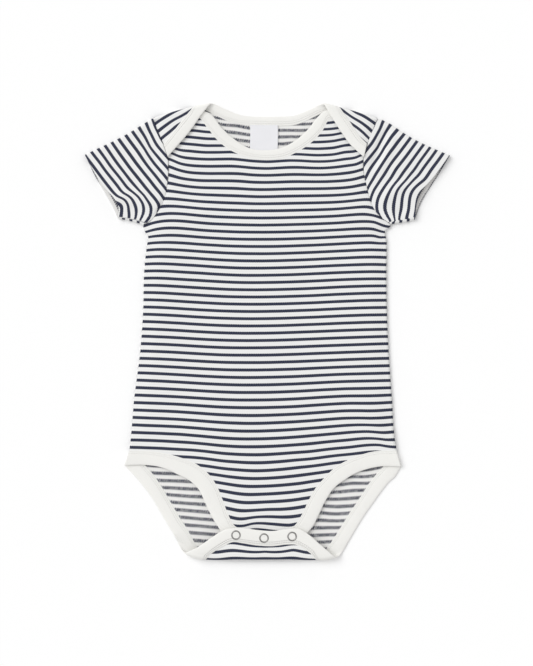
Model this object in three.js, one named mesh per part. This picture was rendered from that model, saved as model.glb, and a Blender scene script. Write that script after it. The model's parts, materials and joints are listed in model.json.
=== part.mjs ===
// Baby bodysuit (onesie), short sleeves, lap shoulders, laid flat and snapped shut.
// Millimetres. Seen from straight above: neck toward +Y, front of the garment up (+Z), left = -X.
// The back panel lies on the surface; its shoulder flaps and its crotch flap fold forward over the front.
import * as THREE from "three";

// ---- Driving sizes ----
const CLOTH = 1.2; // wall of the jersey
const RIB = 1.8; // a folded rib strip, pressed flat
const SEAM = 0.3; // clearance between two sewn pieces
const BACK_Z = CLOTH / 2; // middle of the back panel's wall
const FRONT_Z = 3.5; // middle of the front panel's wall over the body
const SIDE_Z = 2.1; // the same at the side seams, where it comes down to the back panel
const YOKE_Z = 3.0; // the same at the shoulders, under the flaps
const SIDE_ROLL = 14; // how far in from a side seam the front panel rises
const SHOULDER_BEND = 2.2; // fold radius of the back panel over the shoulders
const CROTCH_BEND = 3.45; // fold radius of the back panel at the crotch
const SLEEVE_BEND = 1.6; // fold radius of a flattened sleeve
const SNAP_R = 4.2; // outer radius of a ring snap
const CENTRE = { x: 0.75, y: 1.15 }; // middle of the outline, moved to the origin

// ---- Outline tables: x and y as seen from above ----
// Side seams, from the leg corner up to the armpit.
const SIDES = [
  // y, left x, right x
  [-102.5, -120, 114],
  [-93.5, -119, 112.5],
  [-58.5, -116, 110],
  [-15, -110.5, 107],
  [20, -108, 105.5],
  [55, -107, 105],
  [78, -104.5, 105.3],
  [84, -103.5, 104.6],
  [89, -106.5, 103.6],
  [94.5, -108, 109],
];
// Armhole seams, from the armpit up to the shoulder fold.
const ARMHOLES = [
  // y, left x, right x
  [94.5, -108, 109],
  [100, -100.5, 102],
  [106, -95.5, 96],
  [112, -92, 92.5],
  [120, -89, 90],
  [130, -87, 87.5],
  [141, -86, 85.3],
  [152, -86.2, 85],
  [160, -88.5, 86.7],
  [168, -91.5, 89.3],
  [176, -95, 92.4],
  [183, -97.5, 95.2],
  [188.5, -99.5, 97.8],
];
// Rib strips: cloth edge and free edge at matching stations, left to right.
const FRONT_LEG = [
  // cloth x, cloth y, free x, free y
  [-120, -102.5, -124.5, -116],
  [-104.5, -103, -108, -115.5],
  [-89, -105, -92.5, -117.5],
  [-74, -109, -78.5, -123.5],
  [-61, -114.5, -67, -129.5],
  [-51, -122.5, -59, -137.5],
  [-44, -132, -54, -148],
  [-38.5, -144.5, -49.5, -157.5],
  [-33.5, -158, -43.5, -168],
  [-27.5, -168.5, -35, -179.5],
  [-18, -172, -20.5, -184.5],
  [-1.5, -173, -1.5, -185.5],
  [14.5, -172, 17, -184.5],
  [24, -168.5, 30.5, -179.5],
  [30.5, -159, 40, -170],
  [36.5, -146.5, 46, -158.5],
  [42, -136.5, 51, -148],
  [50.5, -126.5, 59, -136],
  [61, -116.5, 68.5, -128.5],
  [75.5, -109, 81, -121.5],
  [93, -103.5, 98.5, -117],
  [114, -102.5, 118, -117],
];
const FRONT_NECK = [
  // cloth x, cloth y, free x, free y; it runs under the shoulder flaps to each armhole
  [-92.1, 170.5, -96.2, 180.5],
  [-82.5, 175, -85.5, 185.5],
  [-72, 179.5, -74, 189.5],
  [-64, 183.5, -64, 192.5],
  [-57.5, 183.5, -55.5, 194],
  [-51, 177.5, -47.5, 190.5],
  [-43.5, 169, -39, 179.5],
  [-33, 160.5, -28.5, 170],
  [-18, 154, -15.5, 162],
  [-1.5, 151.5, -1.5, 160],
  [14.5, 153, 12.5, 162],
  [27.5, 158.5, 24.5, 168],
  [40, 167, 36.5, 178.5],
  [48.5, 177, 45, 189],
  [54, 183.5, 52.5, 194],
  [61, 184.5, 62.5, 193],
  [70.5, 180.5, 73, 190],
  [80, 175.5, 83.5, 185.5],
  [89.8, 170.5, 93.9, 180.5],
];
// Back neck strip: from the left armhole over the flap, round the fold, across the back, and the same on the right.
const BACK_NECK = {
  leftFlap: [
    [-90, 165, -86.3, 154],
    [-84.5, 172, -78.5, 163],
    [-78.5, 180, -71, 171.5],
    [-72.5, 187.5, -64, 180.5],
    [-68, 193, -58, 189.5],
  ],
  back: [
    [-51, 194, -39.5, 197.8],
    [-44, 190.5, -33, 194.8],
    [-36.5, 186.8, -26.5, 192.2],
    [-27.5, 183.8, -20.5, 190.6],
    [-16, 182, -13.5, 189.8],
    [-1.5, 181.5, -1.5, 189.5],
    [13.5, 181.3, 12.5, 189.7],
    [25, 182.3, 23, 190.4],
    [33, 185, 30.5, 192.7],
    [40.5, 188.6, 37, 195.5],
    [48.5, 192.5, 43.5, 198.3],
  ],
  rightFlap: [
    [68, 192, 56.5, 189.5],
    [72.8, 185, 62.5, 180],
    [77.5, 178, 67.5, 172.5],
    [82, 171.5, 73.5, 164.5],
    [86.7, 165, 85, 153.5],
  ],
};
// Back leg strip: left side seam, leg, round the crotch fold, snap band, fold, leg, right side seam.
const BACK_LEG = {
  left: [
    [-120, -102.5, -124.5, -116],
    [-105.5, -116.5, -113.5, -128],
    [-95.5, -129, -102, -142.5],
    [-85.5, -145.5, -92, -159],
    [-75, -163, -83.5, -174.5],
  ],
  flap: [
    [-48, -192.5, -62, -187.5],
    [-37.5, -185.8, -48.5, -178],
    [-29.5, -182.7, -37, -172],
    [-20.5, -183.7, -24, -170],
    [-8.5, -185.6, -9, -171.8],
    [5, -186.2, 5, -172.8],
    [17, -184.8, 18, -171.2],
    [25.5, -185, 27.5, -170.8],
    [32, -188, 37, -176],
    [38.5, -192.5, 48, -185.5],
  ],
  right: [
    [58, -181.5, 72, -182.5],
    [69.5, -163, 83, -164],
    [81, -145.5, 94, -148],
    [92, -129, 106.5, -131.5],
    [102.5, -116.5, 112.5, -126],
    [114, -102.5, 118, -117],
  ],
};
// A sleeve: its upper fold, the front and back hems and the underarm seam.
const SLEEVES = {
  left: {
    sign: -1,
    upper: [[-99.5, 188.5], [-111.5, 181], [-123, 174], [-135, 167.8], [-147.5, 162], [-159.2, 156.3]],
    hemFront: [[-159.2, 156.3], [-152.5, 144.5], [-142, 128.5], [-131.5, 117.5], [-127.5, 110], [-127.5, 100]],
    hemBack: [[-159.2, 156.3], [-150.5, 138], [-142, 123.5], [-134.5, 110], [-130, 100]],
    under: [[-108, 93.7], [-111, 95.5], [-117.5, 97.5], [-124, 99], [-130, 100]],
    crease: [[-130, 118], [-122, 121], [-112.5, 120], [-104.5, 116.5], [-95, 112]],
  },
  right: {
    sign: 1,
    upper: [[97.8, 188.5], [109, 183], [119.5, 175.8], [131.5, 168.8], [144, 162.8], [160.7, 155.6]],
    hemFront: [[160.7, 155.6], [152.5, 144], [144, 133.5], [135.5, 124], [132, 115], [130, 99]],
    hemBack: [[160.7, 155.6], [153, 142.5], [144.5, 129.5], [136, 115.5], [129.7, 99]],
    under: [[109, 95], [112.5, 95.7], [118, 96.5], [124, 97.5], [129.7, 99]],
    crease: [[134.5, 124], [129, 127], [122, 130.5], [115, 127], [103.5, 118]],
  },
};
// The largest soft folds of the front panel: a ridge (height > 0) or trough between two points.
const FRONT_FOLDS = [
  // x1, y1, x2, y2, half width, height
  [-98, 88, -40, 118, 13, 0.55],
  [97, 90, 45, 125, 13, 0.5],
  [-70, 40, -60, -70, 22, -0.35],
  [55, 60, 78, -60, 24, 0.45],
  [-10, 120, 10, 20, 26, 0.35],
  [88, -62, 104, -98, 10, 0.45],
  [-60, -60, -15, -150, 20, 0.4],
];
const SNAPS = [
  // x, y of the three fastened ring snaps
  [-26.7, -176.3],
  [-2.2, -178.9],
  [22.3, -177.5],
];
const LABEL = { x: -2.2, top: 180.7, width: 24.5, length: 18.5, thick: 1.0 };

// ---- Helpers ----
const lerp = (a, b, t) => a + (b - a) * t;
const clamp01 = (t) => Math.min(1, Math.max(0, t));
const smooth = (t) => clamp01(t) ** 2 * (3 - 2 * clamp01(t));
const spline = (points) => {
  const path = new THREE.CatmullRomCurve3(
    points.map(([x, y]) => new THREE.Vector3(x, y, 0)),
    false,
    "centripetal",
  );
  return (t) => {
    const p = path.getPoint(clamp01(t));
    return [p.x, p.y];
  };
};
// Value of a table's column at height y, straight between its rows.
const columnAt = (rows, column) => (y) => {
  let i = 1;
  while (i < rows.length - 1 && rows[i][0] < y) i++;
  const [a, b] = [rows[i - 1], rows[i]];
  return lerp(a[column], b[column], clamp01((y - a[0]) / (b[0] - a[0])));
};
const BODY_EDGE = [...SIDES, ...ARMHOLES.slice(1)];
// Heights of the panels' rows: every corner of the edge tables, and more between them on the front.
const EDGE_LEVELS = BODY_EDGE.map((row) => row[0]);
const FRONT_LEVELS = [...EDGE_LEVELS, -82, -70, -44, -30, -3, 8, 32, 44, 66].sort((a, b) => a - b);
const leftEdge = columnAt(BODY_EDGE, 1);
const rightEdge = columnAt(BODY_EDGE, 2);

// Distance from a point to a segment.
function toSegment(x, y, x1, y1, x2, y2) {
  const [dx, dy] = [x2 - x1, y2 - y1];
  const t = clamp01(((x - x1) * dx + (y - y1) * dy) / (dx * dx + dy * dy));
  return Math.hypot(x - x1 - t * dx, y - y1 - t * dy);
}

// One closed body from flat faces: keeps corners by position, so that patches share their edges.
class Body {
  constructor() {
    this.points = [];
    this.faces = [];
    this.seen = new Map();
  }
  point(p) {
    const key = p.map((v) => Math.round(v * 2000)).join();
    if (!this.seen.has(key)) {
      this.seen.set(key, this.points.length);
      this.points.push(p);
    }
    return this.seen.get(key);
  }
  tri(a, b, c) {
    if (a !== b && b !== c && c !== a) this.faces.push([a, b, c]);
  }
  quad(a, b, c, d) {
    this.tri(a, b, c);
    this.tri(a, c, d);
  }
  mesh(name, material) {
    let volume = 0;
    for (const [a, b, c] of this.faces) {
      const [p, q, r] = [a, b, c].map((i) => new THREE.Vector3(...this.points[i]));
      volume += p.dot(q.cross(r)) / 6;
    }
    const faces = volume < 0 ? this.faces.map(([a, b, c]) => [a, c, b]) : this.faces;
    const geometry = new THREE.BufferGeometry();
    geometry.setAttribute("position", new THREE.Float32BufferAttribute(this.points.flat(), 3));
    geometry.setIndex(faces.flat());
    geometry.computeVertexNormals();
    const made = new THREE.Mesh(geometry, material);
    made.name = name;
    return made;
  }
}

// A cloth wall: a flat pattern of patches (grids of x, y), placed by place(x, y, h) with h through the wall.
function clothWall(name, patches, place, material, thick = CLOTH) {
  const flat = new Body();
  for (const rows of patches)
    for (let j = 0; j + 1 < rows.length; j++)
      for (let i = 0; i + 1 < rows[j].length; i++) {
        const corner = (jj, ii) => flat.point([...rows[jj][ii], 0]);
        flat.quad(corner(j, i), corner(j, i + 1), corner(j + 1, i + 1), corner(j + 1, i));
      }
  const body = new Body();
  const face = (h) => flat.points.map(([x, y]) => body.point(place(x, y, h)));
  const [upper, lower] = [face(thick / 2), face(-thick / 2)];
  const edges = new Set(flat.faces.flatMap(([a, b, c]) => [`${a},${b}`, `${b},${c}`, `${c},${a}`]));
  for (const [a, b, c] of flat.faces) {
    body.tri(upper[a], upper[b], upper[c]);
    body.tri(lower[a], lower[c], lower[b]);
    for (const [p, q] of [[a, b], [b, c], [c, a]])
      if (!edges.has(`${q},${p}`)) body.quad(upper[q], upper[p], lower[p], lower[q]);
  }
  return body.mesh(name, material);
}

// A rib strip: stations of [cloth edge, free edge], with a flat section rounded at both edges.
function ribStrip(name, stations, place, material) {
  const body = new Body();
  const round = 0.8;
  const rings = stations.map(([a, b]) => {
    const width = Math.hypot(b[0] - a[0], b[1] - a[1]);
    const e = round / width;
    const section = [
      [0, 0],
      [e, RIB / 2],
      [1 - e, RIB / 2],
      [1, 0],
      [1 - e, -RIB / 2],
      [e, -RIB / 2],
    ];
    return section.map(([w, h]) => body.point(place(lerp(a[0], b[0], w), lerp(a[1], b[1], w), h)));
  });
  const n = rings[0].length;
  for (let s = 0; s + 1 < rings.length; s++)
    for (let k = 0; k < n; k++) {
      const m = (k + 1) % n;
      body.quad(rings[s][k], rings[s][m], rings[s + 1][m], rings[s + 1][k]);
    }
  const cap = (ring) => {
    for (let k = 1; k + 1 < n; k++) body.tri(ring[0], ring[k + 1], ring[k]);
  };
  cap(rings[0]);
  cap([...rings[rings.length - 1]].reverse());
  return body.mesh(name, material);
}

// A fold of the back panel: beyond the fold line it turns up round a radius and comes back over itself.
// along runs on the fold line, out points past the garment's edge, bow bends the line outward.
function fold(from, to, inset, radius, bow) {
  const along = new THREE.Vector2(to[0] - from[0], to[1] - from[1]);
  const half = along.length() / 2;
  along.normalize();
  const out = new THREE.Vector2(-along.y, along.x);
  const middle = [(from[0] + to[0]) / 2 - out.x * inset, (from[1] + to[1]) / 2 - out.y * inset];
  const local = (x, y) => {
    const [dx, dy] = [x - middle[0], y - middle[1]];
    const c = dx * along.x + dy * along.y;
    return [c, dx * out.x + dy * out.y - bow(c / half)];
  };
  const world = (c, d) => {
    const reach = d + bow(c / half);
    return [middle[0] + c * along.x + reach * out.x, middle[1] + c * along.y + reach * out.y];
  };
  const turn = Math.PI * radius;
  return {
    local,
    world,
    turn,
    radius,
    // As seen on top of the fold -> where that point lies on the unfolded pattern.
    unfold: ([x, y]) => {
      const [c, d] = local(x, y);
      return world(c, turn - d);
    },
    place: (x, y, h) => {
      const [c, d] = local(x, y);
      const a = clamp01(d / turn) * Math.PI;
      const seen = d <= 0 ? d : d < turn ? (radius - h) * Math.sin(a) : turn - d;
      const z = radius - (radius - h) * Math.cos(a);
      return [...world(c, seen), z];
    },
    share: (x, y) => clamp01(local(x, y)[1] / turn),
  };
}

// ---- The three folds ----
const shoulderLeft = fold([-99.5, 188.5], [-47, 201.6], 2.9, SHOULDER_BEND, (t) => 1.3 * (1 - Math.min(1, t * t)));
const shoulderRight = fold([49, 201.4], [97.8, 188.2], 2.9, SHOULDER_BEND, (t) => 0.8 * (1 - Math.min(1, t * t)));
const CROTCH_REACH = 70; // half length of the crotch fold, past which the edge turns up
const crotch = fold([CROTCH_REACH - 1.5, -199], [-CROTCH_REACH - 1.5, -199], CROTCH_BEND + 0.6, CROTCH_BEND, (t) => -6.1 * Math.min(1.12, Math.abs(t)) ** 8);

// Where a point of the back's flat pattern lies, h above the middle of its wall.
function placeBack(x, y, h) {
  const bend = y < 0 ? crotch : x < 0 ? shoulderLeft : shoulderRight;
  const [px, py, pz] = bend.local(x, y)[1] <= 0 ? [x, y, h] : bend.place(x, y, h);
  return [px, py, BACK_Z + pz];
}
// The same for a rib strip, which stands proud inside the floor layer and on top of the flap.
function placeBackRib(x, y, h) {
  const bend = y < 0 ? crotch : x < 0 ? shoulderLeft : shoulderRight;
  const proud = (RIB - CLOTH) / 2;
  return placeBack(x, y, h + lerp(proud, -proud, bend.share(x, y)));
}

// Height of the middle of the front panel's wall.
function frontHeight(x, y) {
  const aside = y < 108 ? Math.min(x - leftEdge(Math.min(y, 94)), rightEdge(Math.min(y, 94)) - x) : SIDE_ROLL;
  const side = 1 - smooth(aside / SIDE_ROLL);
  const open = smooth((y + 102.5) / 25) * smooth((112 - y) / 18); // no roll at the leg and at the armhole
  let z = lerp(FRONT_Z, YOKE_Z, smooth((y - 140) / 28));
  z = lerp(z, SIDE_Z, side * open);
  const leg = smooth((Math.abs(x) - 60) / 45) * (1 - smooth((y + 102.5) / 25));
  z = lerp(z, YOKE_Z, leg);
  const calm = smooth(aside / 30) * (1 - smooth((y - 120) / 30)) * smooth((y + 160) / 40);
  for (const [x1, y1, x2, y2, width, height] of FRONT_FOLDS)
    z += calm * height * Math.exp(-((toSegment(x, y, x1, y1, x2, y2) / width) ** 2));
  return z;
}
// A point of the front, h above its middle surface.
const placeFront = (x, y, h) => [x, y, frontHeight(x, y) + h];

// ---- Materials ----
const fabric = (color) => new THREE.MeshStandardMaterial({ color, roughness: 0.9, metalness: 0 });
const metal = () => new THREE.MeshStandardMaterial({ color: 0xb9bcc0, roughness: 0.3, metalness: 1 });
const group = new THREE.Group();
group.name = "baby_bodysuit";

// ---- Front panel with its two rib strips ----
const COLUMNS = 36;
function stationsOf(rows, count) {
  const a = spline(rows.map((r) => [r[0], r[1]]));
  const b = spline(rows.map((r) => [r[2], r[3]]));
  return Array.from({ length: count }, (_, i) => [a(i / (count - 1)), b(i / (count - 1))]);
}
// The cloth's edge beside a strip: its cloth edge moved away from the strip.
function beside([a, b], gap = SEAM) {
  const reach = Math.hypot(a[0] - b[0], a[1] - b[1]);
  return [a[0] + ((a[0] - b[0]) / reach) * gap, a[1] + ((a[1] - b[1]) / reach) * gap];
}
const frontLeg = stationsOf(FRONT_LEG, COLUMNS);
const frontNeck = stationsOf(FRONT_NECK, COLUMNS);
const IN = SEAM / 2; // each side of an armhole or side seam gives half the clearance

function blend(bottom, top, left, right, rows) {
  // A grid between four edges: straight across between left and right, with the bottom's and top's own shapes faded in.
  const n = bottom.length - 1;
  return rows.map((v) => {
    const [l, r] = [left(v), right(v)];
    return bottom.map((b, i) => {
      const u = i / n;
      const t = top[i];
      return [0, 1].map(
        (k) =>
          lerp(l[k], r[k], u) +
          (1 - v) * (b[k] - lerp(bottom[0][k], bottom[n][k], u)) +
          v * (t[k] - lerp(top[0][k], top[n][k], u)),
      );
    });
  });
}
const edgeOf = (xAt, y0, y1, inward) => (v) => {
  const y = lerp(y0, y1, v);
  return [xAt(y) + inward, y];
};
// Rows between two heights as shares of the way, at the levels given.
const sharesOf = (levels, y0, y1) => [0, ...levels.filter((y) => y > y0 + 4 && y < y1 - 4).map((y) => (y - y0) / (y1 - y0)), 1];
const frontBottom = frontLeg.map((s) => beside(s));
const frontTop = frontNeck.map((s) => beside(s));
for (const [row, x] of [[frontBottom, leftEdge], [frontTop, leftEdge]]) row[0][0] = x(row[0][1]) + IN;
for (const [row, x] of [[frontBottom, rightEdge], [frontTop, rightEdge]])
  row[COLUMNS - 1][0] = x(row[COLUMNS - 1][1]) - IN;
group.add(
  clothWall(
    "front_panel",
    [
      blend(
        frontBottom,
        frontTop,
        edgeOf(leftEdge, frontBottom[0][1], frontTop[0][1], IN),
        edgeOf(rightEdge, frontBottom[COLUMNS - 1][1], frontTop[COLUMNS - 1][1], -IN),
        sharesOf(FRONT_LEVELS, frontBottom[0][1], frontTop[0][1]),
      ),
    ],
    placeFront,
    fabric(0xdcdde0),
  ),
);
group.add(ribStrip("front_leg_binding", frontLeg, placeFront, fabric(0xf3f2ee)));
group.add(ribStrip("front_neck_binding", frontNeck, placeFront, fabric(0xf3f2ee)));

// ---- Back strips: flap stations unfolded to the pattern, with extra stations round each fold ----
const BEND_STEPS = 6;
// The part of a strip that goes round a fold, between its last flat station and its first flap station.
function roundFold(flat, flap, bend) {
  const rail = (k) => {
    const [c0, d0] = bend.local(...flat[k]);
    const [c1, d1] = bend.local(...flap[k]);
    return (d) => bend.world(lerp(c0, c1, (d - d0) / (d1 - d0)), d);
  };
  const rails = [rail(0), rail(1)];
  return Array.from({ length: BEND_STEPS + 1 }, (_, i) => rails.map((at) => at((bend.turn * i) / BEND_STEPS)));
}
const pairs = (rows) => rows.map(([ax, ay, bx, by]) => [[ax, ay], [bx, by]]);
const unfolded = (rows, bend) => pairs(rows).map((s) => s.map(bend.unfold));
const finer = (stations, count) => stationsOf(stations.map(([a, b]) => [...a, ...b]), count);

const neckFlapLeft = finer(unfolded(BACK_NECK.leftFlap, shoulderLeft), 7);
const neckFlapRight = finer(unfolded(BACK_NECK.rightFlap, shoulderRight), 7);
const neckBack = finer(pairs(BACK_NECK.back), 17);
const backNeck = [
  ...neckFlapLeft,
  ...roundFold(neckBack[0], neckFlapLeft[6], shoulderLeft).reverse(),
  ...neckBack,
  ...roundFold(neckBack[16], neckFlapRight[0], shoulderRight),
  ...neckFlapRight,
];
group.add(ribStrip("back_neck_binding", backNeck, placeBackRib, fabric(0xf3f2ee)));

const legFlap = finer(unfolded(BACK_LEG.flap, crotch), 17);
const legLeft = finer(pairs(BACK_LEG.left), 13);
const legRight = finer(pairs(BACK_LEG.right), 13);
const foldLeft = roundFold(legLeft[12], legFlap[0], crotch);
const foldRight = roundFold(legRight[0], legFlap[16], crotch).reverse();
group.add(
  ribStrip(
    "back_leg_binding",
    [...legLeft, ...foldLeft, ...legFlap, ...foldRight, ...legRight],
    placeBackRib,
    fabric(0xf3f2ee),
  ),
);

// ---- Back panel: one pattern piece, folded forward at the crotch and over both shoulders ----
// Its leg edges climb from the crotch flap's corner, round the fold and up to the side seam.
const TAB = 2; // band stations this far from each end of the flap belong to the leg edges
const reversed = (list) => [...list].reverse();
const edgePoints = (list) => list.map((s) => beside(s));
const legEdgeLeft = edgePoints([...reversed(legFlap.slice(0, TAB + 2)), ...reversed(foldLeft), ...reversed(legLeft)]);
const legEdgeRight = edgePoints([...legFlap.slice(-TAB - 2), ...foldRight, ...legRight]);
const bandEdge = edgePoints(legFlap.slice(TAB + 1, legFlap.length - TAB - 1));
const alongPoints = (points, t) => {
  const s = clamp01(t) * (points.length - 1);
  const i = Math.min(points.length - 2, Math.floor(s));
  return [0, 1].map((k) => lerp(points[i][k], points[i + 1][k], s - i));
};
// Shoulder: the pattern's top line runs along the left fold, the back neck and the right fold.
const foldStart = (bend, x, y) => {
  const [c] = bend.local(x, y);
  return c;
};
const FLAP_CELLS = 6;
const NECK_CELLS = 14;
const seamLeft = edgePoints(roundFold(neckBack[0], neckFlapLeft[6], shoulderLeft));
const seamRight = edgePoints(roundFold(neckBack[16], neckFlapRight[0], shoulderRight));
const tipLeft = beside(neckFlapLeft[0]);
const tipRight = beside(neckFlapRight[6]);
// Left end of each fold line at the armhole.
const headLeft = foldStart(shoulderLeft, leftEdge(186) + IN, 186);
const headRight = foldStart(shoulderRight, rightEdge(186) - IN, 186);
const foldLine = (bend, c0, c1, d = 0) =>
  Array.from({ length: FLAP_CELLS + 1 }, (_, i) => bend.world(lerp(c0, c1, i / FLAP_CELLS), d));
const topLine = [
  ...foldLine(shoulderLeft, headLeft, shoulderLeft.local(...seamLeft[0])[0]),
  ...Array.from({ length: NECK_CELLS - 1 }, (_, i) =>
    alongPoints([seamLeft[0], ...edgePoints(neckBack), seamRight[0]], (i + 1) / NECK_CELLS),
  ),
  ...foldLine(shoulderRight, shoulderRight.local(...seamRight[0])[0], headRight),
];
const bottomLine = topLine.map((_, i) => alongPoints(bandEdge, i / (topLine.length - 1)));
// Rows: the leg edges point by point, then the side and armhole by the edge table's own levels.
const legRows = legEdgeLeft.length - 1;
const topY = [topLine[0][1], topLine[topLine.length - 1][1]];
const backEdge = (legEdge, xAt, inward, top) => [
  ...legEdge.slice(0, legRows),
  ...[legEdge[legRows][1], ...EDGE_LEVELS.filter((y) => y > legEdge[legRows][1] + 2 && y < top - 2), top].map((y) => [
    xAt(y) + inward,
    y,
  ]),
];
const backLeft = backEdge(legEdgeLeft, leftEdge, IN, topY[0]);
const backRight = backEdge(legEdgeRight, rightEdge, -IN, topY[1]);
backLeft[backLeft.length - 1] = topLine[0];
backRight[backRight.length - 1] = topLine[topLine.length - 1];
const height = (y) => (y - backLeft[0][1]) / (topY[0] - backLeft[0][1]);
const mainPatch = backLeft.map((l, j) => {
  const r = backRight[j];
  const v = clamp01(height((l[1] + r[1]) / 2));
  const fade = j === 0 ? 0 : j === backLeft.length - 1 ? 1 : v ** 3;
  const low = j === 0 ? 1 : Math.max(0, 1 - j / 4);
  const n = topLine.length - 1;
  return topLine.map((t, i) => {
    const u = i / n;
    return [0, 1].map(
      (k) =>
        lerp(l[k], r[k], u) +
        (k === 0 ? low : low ** 2) * (bottomLine[i][k] - lerp(bottomLine[0][k], bottomLine[n][k], u)) +
        fade * (t[k] - lerp(topLine[0][k], topLine[n][k], u)),
    );
  });
});
// A shoulder flap: rows run parallel to the fold, out to the point where the strip meets the armhole.
function flapPatch(bend, headC, seam, strip, tip, flip) {
  const tipD = bend.local(...tip)[1];
  const bound = [...seam.slice(1), ...edgePoints(strip).slice(1)].map((p) => bend.local(...p));
  const boundC = (d) => {
    let i = 1;
    while (i < bound.length - 1 && bound[i][1] < d) i++;
    const [a, b] = [bound[i - 1], bound[i]];
    return lerp(a[0], b[0], clamp01((d - a[1]) / (b[1] - a[1])));
  };
  const tipC = bend.local(...tip)[0];
  const rows = [];
  const steps = [
    ...Array.from({ length: BEND_STEPS + 1 }, (_, i) => (bend.turn * i) / BEND_STEPS),
    ...[0.2, 0.4, 0.6, 0.8, 1].map((t) => lerp(bend.turn, tipD, t)),
  ];
  steps.forEach((d, j) => {
    const arm = lerp(headC, tipC, smooth((d - bend.turn) / (tipD - bend.turn)) * 0.5 + 0.5 * clamp01((d - bend.turn) / (tipD - bend.turn)));
    const inner = j === 0 ? bend.local(...seam[0])[0] : boundC(d);
    const row = Array.from({ length: FLAP_CELLS + 1 }, (_, i) => {
      const u = i / FLAP_CELLS;
      return bend.world(lerp(arm, inner, u), d);
    });
    rows.push(flip ? row.reverse() : row);
  });
  return flip ? rows.map((row) => row) : rows;
}
const flapLeft = flapPatch(shoulderLeft, headLeft, seamLeft, reversed(neckFlapLeft), tipLeft, false);
const flapRight = flapPatch(shoulderRight, headRight, seamRight, neckFlapRight, tipRight, true);
group.add(clothWall("back_panel", [mainPatch, flapLeft, flapRight], placeBack, fabric(0xd4d6da)));

// ---- Sleeves: flattened tubes, open at the hem and at the armhole ----
function sleeve(name, spec, edge) {
  const RINGS = 11;
  const armholeTop = 187.6;
  const armholeLow = 94.8;
  const outward = spec.sign * IN;
  const armhole = (u) => {
    const y = lerp(armholeTop, armholeLow, u);
    return [edge(y) + outward, y];
  };
  const [upper, under, hemFront, hemBack] = [spec.upper, spec.under, spec.hemFront, spec.hemBack].map(spline);
  const a0 = armhole(0);
  const a1 = armhole(1);
  const grid = (hem) => (u, v) => {
    const [top, low] = [v === 0 ? a0 : upper(v), v === 0 ? a1 : under(v)];
    return [0, 1].map(
      (k) =>
        lerp(top[k], low[k], u) +
        (1 - v) * (armhole(u)[k] - lerp(a0[k], a1[k], u)) +
        v * (hem(u)[k] - lerp(hem(0)[k], hem(1)[k], u)),
    );
  };
  const [front, back] = [grid(hemFront), grid(hemBack)];
  const reach = SLEEVE_BEND + CLOTH / 2;
  const crease = spec.crease;
  const ridge = (x, y, v) => {
    let nearest = 1e9;
    for (let i = 0; i + 1 < crease.length; i++)
      nearest = Math.min(nearest, toSegment(x, y, ...crease[i], ...crease[i + 1]));
    return 1.2 * Math.exp(-((nearest / 9) ** 2)) * smooth(v / 0.15);
  };
  const shares = EDGE_LEVELS.filter((y) => y > armholeLow + 4 && y < armholeTop - 4)
    .map((y) => (armholeTop - y) / (armholeTop - armholeLow))
    .reverse();
  const body = new Body();
  const ring = (v, offset) => {
    const length = Math.hypot(...[0, 1].map((k) => front(0, v)[k] - front(1, v)[k]));
    const e = reach / length;
    const points = [];
    const push = (grid, u, z) => {
      const [x, y] = grid(clamp01(u), v);
      points.push(body.point([x, y, z]));
    };
    const rim = SLEEVE_BEND + offset;
    const turnAt = (centre, side, from, to) => {
      for (const s of [0.25, 0.5, 0.75]) {
        const a = lerp(from, to, s);
        push(Math.sin(a) > 0 ? front : back, centre - (side * rim * Math.cos(a)) / length, BACK_Z + SLEEVE_BEND + rim * Math.sin(a));
      }
    };
    const [uTop, uLow] = [e, 1 - e];
    for (const u of [uTop, ...shares, uLow]) {
      const [x, y] = front(u, v);
      const edgeFade = smooth((u - uTop) / 0.1) * smooth((uLow - u) / 0.1);
      push(front, u, BACK_Z + SLEEVE_BEND + rim + ridge(x, y, v) * edgeFade);
    }
    turnAt(uLow, -1, Math.PI / 2, -Math.PI / 2);
    for (const u of [uLow, ...reversed(shares), uTop]) push(back, u, BACK_Z + SLEEVE_BEND - rim);
    turnAt(uTop, 1, -Math.PI / 2, Math.PI / 2);
    return points;
  };
  const outer = [];
  const inner = [];
  for (let j = 0; j < RINGS; j++) {
    outer.push(ring(j / (RINGS - 1), CLOTH / 2));
    inner.push(ring(j / (RINGS - 1), -CLOTH / 2));
  }
  const n = outer[0].length;
  for (let k = 0; k < n; k++) {
    const m = (k + 1) % n;
    for (let j = 0; j + 1 < RINGS; j++) {
      body.quad(outer[j][k], outer[j][m], outer[j + 1][m], outer[j + 1][k]);
      body.quad(inner[j][m], inner[j][k], inner[j + 1][k], inner[j + 1][m]);
    }
    body.quad(outer[0][m], outer[0][k], inner[0][k], inner[0][m]);
    body.quad(outer[RINGS - 1][k], outer[RINGS - 1][m], inner[RINGS - 1][m], inner[RINGS - 1][k]);
  }
  return body.mesh(name, fabric(0xdcdde0));
}
group.add(sleeve("sleeve_left", SLEEVES.left, leftEdge));
group.add(sleeve("sleeve_right", SLEEVES.right, rightEdge));

// ---- Neck label: a plain tab sewn under the back neck strip ----
{
  const label = new THREE.Mesh(
    new THREE.BoxGeometry(LABEL.width, LABEL.length, LABEL.thick),
    fabric(0xf4f4f2),
  );
  label.name = "neck_label";
  label.position.set(LABEL.x, LABEL.top - LABEL.length / 2, CLOTH + SEAM + LABEL.thick / 2);
  group.add(label);
}

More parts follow.
